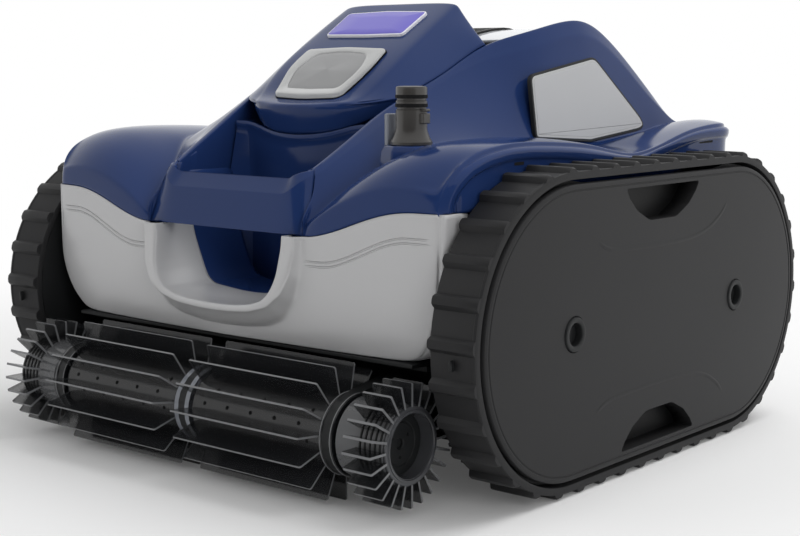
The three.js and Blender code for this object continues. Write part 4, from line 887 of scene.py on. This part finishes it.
def lid_top_rows():
    """The lid's top and its flanks, which come down to the arms' edges."""
    front_bend = (0, 0.03, 0.066, 0.14, 0.226, 0.31, 0.394, 0.7, 1.0)
    rear_bend = (0, 0.01, 0.03, 0.06, 0.1, 0.16, 0.47, 0.82, 1.0)
    # y in the middle and at the arms
    spread = [(-17, 9), (-11, 11.5), (-4, 15), (3, 19.5), (12, 26), (24, 34.5), (37, 44), (50, 53), (62, 61),
              (72, 66.5), (81, 71), (86, 73.4), (88.5, 74.6)]
    rows = []
    for n, (middle, side_y) in enumerate(spread):
        row = []
        for k in range(9):
            y = mix(middle, side_y, mix(front_bend[k], rear_bend[k], clamp(n / 9)))
            top = follow(lid_half_width, clamp(y, -17, 88))
            if k <= 4:
                x = top * k / 4
                crown = 0.6 * (1 - (x / 48) ** 2) * clamp((88 - y) / 60)
                z = lid_z(y) + crown - (0.5 if k == 4 else 0)
            else:
                s = (0.08, 0.4, 0.8, 1.0)[k - 5]
                arm_x, arm_z = follow(ridge_line, min(y, 75))
                x = mix(top, arm_x - 2.5, s)
                z = mix(lid_z(y) - 1.2, arm_z + 0.9, s) + 1.0 * sin(pi * s)
            row.append((x, y, z))
        rows.append(row)
    return rows


def lid_shell():
    rows = lid_front_rows() + lid_top_rows()
    last = rows[-1]
    for back, down in ((1.4, 0.8), (3.5, 4), (6.5, 12)):
        skirt = []
        for k, (x, y, z) in enumerate(last):
            side = clamp((k - 4) / 4)
            skirt.append((x, y + back * mix(1, 0.5, side), z - down * mix(1, 0.3, side)))
        rows.append(skirt)
    half = skin([[at(*p) for p in row] for row in rows])
    return welded(flipped_side(half), half)


def lid_point(x, y, height):
    """A place over the lid's curved top."""
    slope = (lid_z(y + 9) - lid_z(y - 9)) / 18
    long = sqrt(1 + slope * slope)
    return at(x, y - height * slope / long, lid_z(y) + 0.4 * (1 - (x / 48) ** 2) + height / long)


def lid_layer(outline, middle, steps, lift=lambda y: 1.0):
    """Rings drawn in from the outline towards the middle and laid on the lid: steps are (share, height)."""
    rows = []
    for share, h in steps:
        rows.append([lid_point(mix(x, middle[0], share), mix(y, middle[1], share), h * lift(y))
                     for x, y in outline])
    return skin(rows, closed=True)


def frame_lift(y):
    return mix(4.0, 2.5, clamp((y + 9) / 44))


def window_frame(outer, inner):
    rows = []
    for share, h in [(0, -0.5), (0, 0.72), (0.05, 0.92), (0.14, 1.0), (0.5, 1.02), (0.86, 0.96), (0.95, 0.86),
                     (1, 0.6), (1.02, 0.3)]:
        rows.append([lid_point(mix(a[0], b[0], share), mix(a[1], b[1], share), h * frame_lift(a[1]))
                     for a, b in zip(outer, inner)])
    return skin(rows, closed=True)


piece("lid_skin", lid_shell(), navy, "navy_plastic", "lid", "lid", smooth=2, wall=1.8)
window_outer = rounded([(0, -9.6), (26.5, -6.5), (34.5, 18), (33.4, 34), (0, 35.4), (-33.4, 34), (-34.5, 18),
                        (-26.5, -6.5)], [60, 8, 40, 3, 90, 3, 40, 8], 7)
window_inner = rounded([(0, 0.4), (22.6, 1.4), (27.6, 16), (21.6, 29), (0, 31.6), (-21.6, 29), (-27.6, 16),
                        (-22.6, 1.4)], [80, 7, 14, 9, 90, 9, 14, 7], 7)
# painted shade: a black ring in the gap round the window frame
gap = lid_layer(grown(window_outer, 0.6), (0, 14),
                [(0.05, -1.5), (0, -1.5), (0, 0.7), (0.03, 0.9), (0.3, 0.9)])
piece("window_gap_painted_shade", gap, black, "navy_plastic", body="lid", sharp=50)
frame_skin = window_frame(window_outer, window_inner)
piece("window_frame", frame_skin, frost_rim, "silver_plastic", "lid_window_frame", "lid", sharp=60)
pane = lid_layer(grown(window_inner, 0.3), (0, 15.5),
                 [(0, 0.3), (0, 0.66), (0.04, 0.72), (0.2, 0.76), (0.6, 0.8), (1, 0.82)], frame_lift)
piece("window_lens", pane, lens, "frosted_window", "lid_window_pane", "lid", sharp=50)

badge = rounded([(-33, 49.5), (0, 48.5), (33, 49.5), (34.2, 74.5), (0, 75.8), (-34.2, 74.5)],
                [3, 60, 3, 3, 60, 3], 6)
border = lid_layer(badge, (0, 62), [(0.02, -0.5), (0, -0.3), (0, 1.5), (0.012, 1.8), (0.5, 1.8), (1, 1.8)])
label = lid_layer(grown(badge, -1.0), (0, 62),
                  [(0.02, 0), (0, 0.3), (0, 1.9), (0.01, 2.0), (0.5, 2.0), (1, 2.0)])
piece("label_border", border, white_line, "badge", "badge_plate", "lid", sharp=40)
piece("label_plate", label, violet, "badge", body="lid", sharp=40)

# ---------- side windows ----------
FLANK_LEAN = atan2(0.19, 1.0)
FLANK_X, FLANK_Z = 115, 193


def flank_plate(side, outline, low, high):
    """A plate on the arch's leaning flank, from an outline of (y, z)."""
    out = Vector((cos(FLANK_LEAN), 0, sin(FLANK_LEAN)))
    up = Vector((-sin(FLANK_LEAN), 0, cos(FLANK_LEAN)))
    points = []
    for y, z in outline:
        climb = (z - FLANK_Z) / cos(FLANK_LEAN)
        points.append(at(FLANK_X, 0, FLANK_Z) + Vector((0, y * MM, 0)) + up * (climb * MM) + out * (low * MM))
    return on_side(slab(points, out * ((high - low) * MM)), side)


window = rounded([(84, 235.4), (80.6, 195.3), (142.6, 191.5), (219, 198.2), (161.4, 247.2)],
                 [7, 4, 10, 7, 12], 7)
for side, word in SIDES:
    seal = flank_plate(side, window, -2, 0.9)
    piece(f"side_pane_seal_{word}", seal, dark, "track_rubber", f"window_seal_{word}", edge=0.4)
    rim = flank_plate(side, grown(window, -1.6), -1, 1.15)
    piece(f"side_pane_rim_{word}", rim, frost_rim, "frosted_window", f"side_window_{word}", edge=0.3)
    pane = flank_plate(side, grown(window, -3.4), -1, 1.3)
    piece(f"side_pane_{word}", pane, frosted, "frosted_window", edge=0.2)
    # painted shade: the fender's two slots are thin black plates on its side
    for k, (y, z, reach) in enumerate(((-8.5, 188, 4.5), (206, 192, 9))):
        corners = [(y - reach, z - 1.8), (y + reach, z - 1.8), (y + reach, z + 1.8), (y - reach, z + 1.8)]
        slot_shade_plate = across(rounded(corners, 0.6, 3), 165, 166)
        piece(f"fender_slot_{k}_{word}", on_side(slot_shade_plate, side), black, "navy_plastic")


# ---------- tracks ----------
BELT_LOOP = 2 * WHEEL_BASE + 2 * pi * BELT_RADIUS


def belt_point(distance, height):
    """A place (y, z) at a distance along the belt and a height over its outer face."""
    arc = pi * BELT_RADIUS
    r = BELT_RADIUS + height
    s = distance % BELT_LOOP
    if s < WHEEL_BASE:
        return (s, AXIS_Z - r)
    s -= WHEEL_BASE
    if s < arc:
        t = -pi / 2 + s / BELT_RADIUS
        return (WHEEL_BASE + r * cos(t), AXIS_Z + r * sin(t))
    s -= arc
    if s < WHEEL_BASE:
        return (WHEEL_BASE - s, AXIS_Z + r)
    t = pi / 2 + (s - WHEEL_BASE) / BELT_RADIUS
    return (r * cos(t), AXIS_Z + r * sin(t))


def cleat(middle):
    # x, the share of the cleat's length and the share of its height
    rows = ((BELT_IN + 0.3, 0.5, 1.0), (BELT_IN + 1.4, 1, 1), (BELT_IN + 18, 1, 1), (BELT_OUT - 1.8, 1, 0.96),
            (BELT_OUT - 0.3, 0.9, 0.7))
    profile = ((-4.6, -0.2), (-3.4, 1.6), (-2.2, 2.9), (0, 3.2), (2.2, 2.9), (3.4, 1.6), (4.6, -0.2))
    rings = []
    for x, long, high in rows:
        rings.append([at(x, *belt_point(middle + along * mix(0.75, 1, long), h * high if h > 0 else h))
                      for along, h in profile])
    return skin(rings, closed=True, caps=True)


def belt(side):
    pitch = BELT_LOOP / CLEATS
    # (x, height over the belt's outer face)
    corners = [(BELT_IN, -4), (BELT_IN, 0), (BELT_OUT - 2.4, 0), (BELT_OUT - 1.9, 0.5), (BELT_OUT - 0.2, 0.3),
               (BELT_OUT, -4)]
    section = rounded(corners, [0.6, 0.8, 0.3, 0.3, 0.5, 0.6], 2)
    rings = [[at(x, *belt_point(k * pitch / 5, h)) for x, h in section] for k in range(CLEATS * 5)]
    band = skin(rings + rings[:1], closed=True)
    return on_side(merged(band, *[cleat((k + 0.5) * pitch) for k in range(CLEATS)]), side)


def stadium(radius, steps=48):
    points = []
    for y, start in ((WHEEL_BASE, pi / 2), (0, -pi / 2)):
        for k in range(steps + 1):
            t = start - pi * k / steps
            points.append((y + radius * cos(t), AXIS_Z + radius * sin(t)))
    return points


def hand_hold(way):
    """Outline of a cover's hand hold: way is 1 for the upper one and -1 for the lower."""
    top, middle = AXIS_Z + way * (COVER_RADIUS - 6), WHEEL_BASE / 2
    half = ((1, 0), (0.9, 6), (0.7, 13.5), (0.36, 20.2))
    outline = [(middle - 43, top)] + [(middle + 43 * k, top - way * d) for k, d in half]
    outline += [(middle - 43 * k, top - way * d) for k, d in reversed(half[1:])]
    return rounded(outline, [1.5, 1.5, 8, 12, 14, 14, 12, 8], 5)


def cover(side):
    """Side plate with a thin rim line, two hand holds and two bolt holes."""
    # (in from the rim, in from the outer face)
    steps = ((0, 1.6), (0.5, 0.5), (1.6, 0), (3.0, 0), (3.3, 0.5), (3.8, 0.5), (4.2, 0.05), (5.0, 0))
    rows = [(COVER_RADIUS - 1, COVER_IN), (COVER_RADIUS, COVER_IN + 1)]
    rows += [(COVER_RADIUS - inset, COVER_OUT - deep) for inset, deep in steps]
    plate = skin([[at(x, y, z) for y, z in stadium(radius)] for radius, x in rows], closed=True, caps=True)
    body = linked("plate", plate)
    holds = [hand_hold(1), hand_hold(-1)]
    tools = [("UNION", across(grown(hold, 1.8), COVER_OUT - 14.5, COVER_OUT - 0.6)) for hold in holds]
    tools += [("DIFFERENCE", across(hold, COVER_OUT - 13, COVER_OUT + 2)) for hold in holds]
    hole = [(0, COVER_IN - 2), (10.4, COVER_IN - 2), (10.4, COVER_OUT + 2), (0, COVER_OUT + 2)]
    tools += [("DIFFERENCE", turned(hole, (y, AXIS_Z), steps=48)) for y in (0, WHEEL_BASE)]
    used = [body]
    for kind, bm in tools:
        m = body.modifiers.new(kind, "BOOLEAN")
        m.operation, m.object, m.solver = kind, linked("tool", bm), "EXACT"
        used.append(m.object)
    bpy.context.view_layer.update()
    done = bmesh.new()
    done.from_object(body, bpy.context.evaluated_depsgraph_get())
    for obj in used:
        bpy.data.objects.remove(obj)
    return on_side(done, side)


def bead(points):
    """A low rounded line on the cover's face, along a smooth path of (y, z)."""
    wide, proud, steps = 1.6, 0.35, 60
    rows = [(i, *p) for i, p in enumerate(points)]
    path = [tuple(follow(rows, (len(points) - 1) * k / steps)) for k in range(steps + 1)]
    rings = []
    for k, (y, z) in enumerate(path):
        a, b = path[max(k - 1, 0)], path[min(k + 1, steps)]
        along = Vector((b[0] - a[0], b[1] - a[1])).normalized()
        fade = clamp(min(k, steps - k) / 6)
        ring = []
        for w, h in ((-1, -0.2), (-0.6, 0.5), (0, 0.8), (0.5, 1), (1, -0.2)):
            x = COVER_OUT + h * proud * fade - 0.05
            ring.append(at(x, y - along.y * w * wide, z + along.x * w * wide))
        rings.append(ring)
    return skin(rings)


def belt_peg():
    """A small flat peg that stands out of the belt's front."""
    peg = turned([(0, 90.5), (1.3, 90.5), (1.3, 92.9), (0.9, 93.3), (0, 93.3)], (0, 0), "z", 16)
    bmesh.ops.scale(peg, vec=(1, 2.4, 1), space=Matrix.Translation(-at(0, 0, 0)), verts=peg.verts[:])
    return moved(tipped(peg, radians(93.5), cent=at(0, 0, 0)), (183.5 * MM, 0, AXIS_Z * MM))


smile = [(22, 143), (32, 138.4), (46, 136.4), (90, 135.2), (128, 136.2), (150, 140), (166, 147.5), (176, 156)]
bolt_profile = [(0, 195), (10, 195), (10, 199.3), (9.6, 199.9), (9.2, 200), (7.2, 200), (6.7, 199.7),
                (6.5, 199.2), (6.5, 195.2), (0, 195.2)]
for side, word in SIDES:
    piece(f"belt_{word}", belt(side), rubber, "track_rubber", f"track_belt_{word}", sharp=38)
    piece(f"cover_{word}", cover(side), charcoal, "dark_plastic", f"side_cover_{word}", edge=0.5, sharp=30,
          limit=38)
    piece(f"belt_peg_{word}", on_side(belt_peg(), side), dark, "track_rubber", sharp=30)
    beads = merged(bead(smile), bead([(y, 2 * AXIS_Z - z) for y, z in smile]))
    piece(f"cover_line_{word}", on_side(beads, side), charcoal, "dark_plastic", sharp=60)
    for y, place in ((0, "front"), (WHEEL_BASE, "rear")):
        bolt = on_side(turned(bolt_profile, (y, AXIS_Z), steps=48), side)
        piece(f"{place}_bolt_{word}", bolt, dark, "dark_plastic", f"{place}_cover_bolt_{word}", sharp=40)


# ---------- brush ----------
def spoke(outline, thick, angle):
    """A plate in the plane through the brush axis, from an outline of (x, radius)."""
    bm = slab([(x * MM, -thick / 2 * MM, r * MM) for x, r in outline], (0, thick * MM, 0))
    # the thin edge faces take the second finish, a painted highlight
    for f in bm.faces:
        f.material_index = 1 if abs(f.normal.y) < 0.5 else 0
    return moved(tipped(bm, angle), at(0, *BRUSH_AXIS))


def along_axis(bm, x=BRUSH_X):
    return moved(bm, (x * MM, 0, 0))


def band(x0, x1, low, high, steps=56, soft=0.4):
    """A ring about the brush axis with softened outer edges."""
    return turned([(low, x0), (high - soft, x0), (high, x0 + soft), (high, x1 - soft), (high - soft, x1),
                   (low, x1), (low, x0)], BRUSH_AXIS, steps=steps)


def head_ring(profile):
    """A ring from a profile of (radius, depth in from the brush's end)."""
    return turned([(r, HEAD_OUT - d) for r, d in profile], BRUSH_AXIS)


def paddles(phase):
    low, tip, start, end = 21.2, PADDLE_RADIUS, SLEEVE_START, SLEEVE_END
    blade = [(start, low), (end, low), (end, tip - 0.8), (end - 0.8, tip), (start + 0.8, tip),
             (start, tip - 0.8)]
    return merged(*[spoke(blade, 1.1, 2 * pi * k / PADDLES + phase) for k in range(PADDLES)])


def painted_drum_hole_shade(phase):
    """Rows of small black discs, painted shade for round holes between the paddles, every other row set over.
    """
    holes = []
    for row in range(PADDLES):
        for n in range(5):
            x = 18 + 19 * n + (7 if row % 2 else 0)
            dot = bmesh.new()
            bmesh.ops.create_cone(dot, cap_ends=True, segments=10, radius1=HOLE_RADIUS * MM,
                                  radius2=HOLE_RADIUS * MM, depth=0.5 * MM)
            moved(dot, (x * MM, 0, (SLEEVE_RADIUS - 0.1) * MM))
            tipped(dot, 2 * pi * (row + 0.5) / PADDLES + phase)
            holes.append(moved(dot, at(0, *BRUSH_AXIS)))
    return merged(*holes)


def brush_parts(word):
    """Name, shape, finish, slot and the CAD node it stands for, of each round piece."""
    r = SLEEVE_RADIUS
    sleeve = [(17.4, SLEEVE_START), (r - 0.4, SLEEVE_START), (r, SLEEVE_START + 0.4), (r, SLEEVE_END - 0.4),
              (r - 0.4, SLEEVE_END), (17.4, SLEEVE_END), (17.4, SLEEVE_START)]
    yield "sleeve", turned(sleeve, BRUSH_AXIS, steps=60), smoke_core, "smoke_plastic", None
    core = [(0, 0.5), (8, 0.5), (8, 7), (15, 7.2), (17, 9), (17, 111), (15, 111.4), (15, 121.4), (8, 121.4),
            (8, 134), (0, 134)]
    yield "core", turned(core, BRUSH_AXIS, steps=40), dark, "smoke_plastic", f"brush_drum_{word}"
    head = head_ring([(8.4, HEAD_LENGTH), (HEAD_RADIUS - 1.2, HEAD_LENGTH), (HEAD_RADIUS, HEAD_LENGTH - 1.2),
                      (HEAD_RADIUS, 2.6), (18.4, 2.6), (18.4, 12.4), (8.4, 12.4), (8.4, HEAD_LENGTH)])
    yield "head_drum", head, smoke_clear, "smoke_plastic", f"brush_head_{word}"
    rungs = [band(HEAD_OUT - d - 0.6, HEAD_OUT - d + 0.6, 21.8, 23.0, 48, 0.2)
             for d in (18, 14.5, 11, 7.5, 4)]
    yield "head_ladder", merged(*rungs), dark, "smoke_plastic", None
    rim = head_ring([(18.4, 2.5), (21.4, 2.5), (21.7, 2.1), (21.7, 1.0), (21.3, 0.6), (19.9, 0.6), (19.7, 0),
                     (18.7, 0), (18.4, 0.4), (18.4, 2.5)])
    yield "head_rim", rim, smoke_rim, "smoke_plastic", None
    cup = head_ring([(17.9, 12.2), (18.3, 12.2), (18.3, 0.8), (17.9, 0.8), (17.9, 12.2)])
    yield "head_cup", cup, smoke_rim, "smoke_plastic", None
    tip = FIN_RADIUS
    fin = [(HEAD_OUT - d, r) for d, r in ((20.7, 21.5), (0.4, 21.5), (0.4, tip - 0.5), (0.9, tip),
                                          (20.2, tip), (20.7, tip - 0.5))]
    fins = merged(*[spoke(fin, 1.4, 2 * pi * k / FINS) for k in range(FINS)])
    yield "head_fins", fins, [smoke, smoke_painted_highlight], "smoke_plastic", None
    disc = head_ring([(0, 12.2), (17.8, 12.2), (17.8, 9.4), (17.4, 9), (13, 9), (12.6, 9.5), (11.8, 9.5),
                      (11.4, 9), (3.6, 9), (3, 9.6), (3, 11), (0, 11)])
    yield "end_disc", disc, dark, "dark_plastic", f"brush_end_cap_{word}"
    dot = [(0, HEAD_OUT - 9.3), (0.9, HEAD_OUT - 9.3), (0.9, HEAD_OUT - 8.7), (0, HEAD_OUT - 8.7)]
    dots = []
    for angle in (radians(30 + 120 * k) for k in range(3)):
        centre = (BRUSH_AXIS[0] + 7.6 * cos(angle), BRUSH_AXIS[1] + 7.6 * sin(angle))
        dots.append(turned(dot, centre, steps=16))
    yield "end_dots", merged(*dots), black, "dark_plastic", None


for side, word in SIDES:
    body = f"brush_{word}"
    phase = radians(PADDLE_PHASE[word])
    start = BRUSH_X if side > 0 else BRUSH_X - SLEEVE_START - SLEEVE_END
    piece(f"paddles_{word}", along_axis(paddles(phase), start), [smoke, smoke_painted_highlight], "smoke_plastic",
          f"brush_paddles_{word}", body, sharp=20)
    # painted shade: black discs for the drum's holes
    holes = along_axis(painted_drum_hole_shade(phase), start)
    piece(f"painted_drum_hole_shade_{word}", holes, black, "smoke_plastic", body=body, sharp=30)
    for name, bm, finish, slot, node in brush_parts(word):
        piece(f"{name}_{word}", along_axis(on_side(bm, side)), finish, slot, node, body, sharp=28)
    collar = merged(band(111.3, 113.2, 15.4, 23.4), band(113.3, 118.3, 15.4, 22.2),
                    band(118.4, 120.6, 15.4, 23.4))
    piece(f"arm_collar_{word}", along_axis(on_side(collar, side)), collar_black, "dark_plastic", sharp=28)
    # painted highlight: two thin light lines at the collar's rims
    bands = merged(band(111.8, 112.5, 23.2, 23.7, soft=0.2), band(119.3, 120.0, 23.2, 23.7, soft=0.2))
    piece(f"collar_line_{word}", along_axis(on_side(bands, side)), smoke_painted_highlight, "dark_plastic", sharp=28)

centre = merged(band(-6.5, -2.4, 9, 23.0), band(2.4, 6.5, 9, 23.0))
piece("centre_ring", along_axis(centre), clear_rib, "dark_plastic", sharp=28)
piece("centre_ring_core", along_axis(band(-2.3, 2.3, 9, 22.2)), dark, "dark_plastic", sharp=28)
piece("brush_apron", block(-143, 143, -74, -40, 77.7, 80.2), dark, "dark_plastic", edge=0.6)

# ---------- stage ----------
WHITE = (1, 1, 1, 1)
floor = Finish("pale_floor", (0.9, 0.9, 0.9, 1), 0.9)
floor_grid = bmesh.new()
bmesh.ops.create_grid(floor_grid, x_segments=1, y_segments=1, size=12)
ground = linked("floor", floor_grid)
ground.data.materials.append(floor.material)
# the floor glows white away from the object, and keeps its shadow
lift = floor.node("ShaderNodeEmission", {}, {"Color": WHITE, "Strength": 1.0})
far = floor.node("ShaderNodeVectorMath", {"operation": "LENGTH"}, {0: floor.place}, "Value")
glow = floor.looked_at() * far.ramp(0.25, 0.9, 0.06, 1.0)
plain = Wire(floor, floor.shader.outputs[0])
floor.put(floor.tree.nodes["Material Output"],
          {"Surface": floor.node("ShaderNodeMixShader", {}, {0: glow, 1: plain, 2: lift})})

# a grey screen behind the camera, which the glossy faces in front mirror
screen_finish = Finish("grey_screen", tone(70, 71, 73), 0.9)
screen_finish.moulded(3.0, 0.0001, 0.05, 0.05)
screen = bmesh.new()
bmesh.ops.create_grid(screen, x_segments=2, y_segments=2, size=1)
bmesh.ops.scale(screen, vec=(2.6, 0.75, 1), verts=screen.verts[:])
tipped(screen, radians(90))
tipped(screen, radians(25), "Z")
card = linked("screen", moved(screen, (0.95, -2.2, 0.77)))
card.data.materials.append(screen_finish.material)

world = bpy.data.worlds.new("studio")
bpy.context.scene.world = world
world.use_nodes = True
world.node_tree.nodes.clear()
sky = Shading(world.node_tree)
light = sky.node("ShaderNodeBackground", {}, {"Color": WHITE, "Strength": 0.55})
backdrop = sky.node("ShaderNodeBackground", {}, {"Color": WHITE, "Strength": 1.0})
both = sky.node("ShaderNodeMixShader", {}, {0: sky.looked_at(), 1: light, 2: backdrop})
sky.put(sky.tree.nodes.new("ShaderNodeOutputWorld"), {"Surface": both})


def lamp(name, place, target, size, watts):
    data = bpy.data.lights.new(name, "AREA")
    data.shape, data.size, data.energy = "DISK", size, watts
    obj = bpy.data.objects.new(name, data)
    bpy.context.scene.collection.objects.link(obj)
    obj.location = place
    obj.rotation_euler = (Vector(target) - Vector(place)).to_track_quat("-Z", "Y").to_euler()
    obj.visible_glossy = False


lamp("key", (0.5, 0.7, 1.8), (0, 0, 0.1), 1.4, 20)
lamp("fill", (-1.2, -1.6, 0.9), (0, 0, 0.12), 1.4, 4.5)
lamp("side", (1.9, -1.0, 0.8), (0.1, 0, 0.12), 1.2, 12)

camera_data = bpy.data.cameras.new("camera")
camera_data.sensor_width, camera_data.lens = 36.0, 66.02
camera = bpy.data.objects.new("camera", camera_data)
bpy.context.scene.collection.objects.link(camera)
camera.location = at(639.39, -676.66, 240.48)
camera.rotation_euler = Vector((-0.6364, 0.7594, -0.1359)).to_track_quat("-Z", "Y").to_euler()
bpy.context.scene.camera = camera
bpy.context.scene.view_settings.view_transform = "Standard"
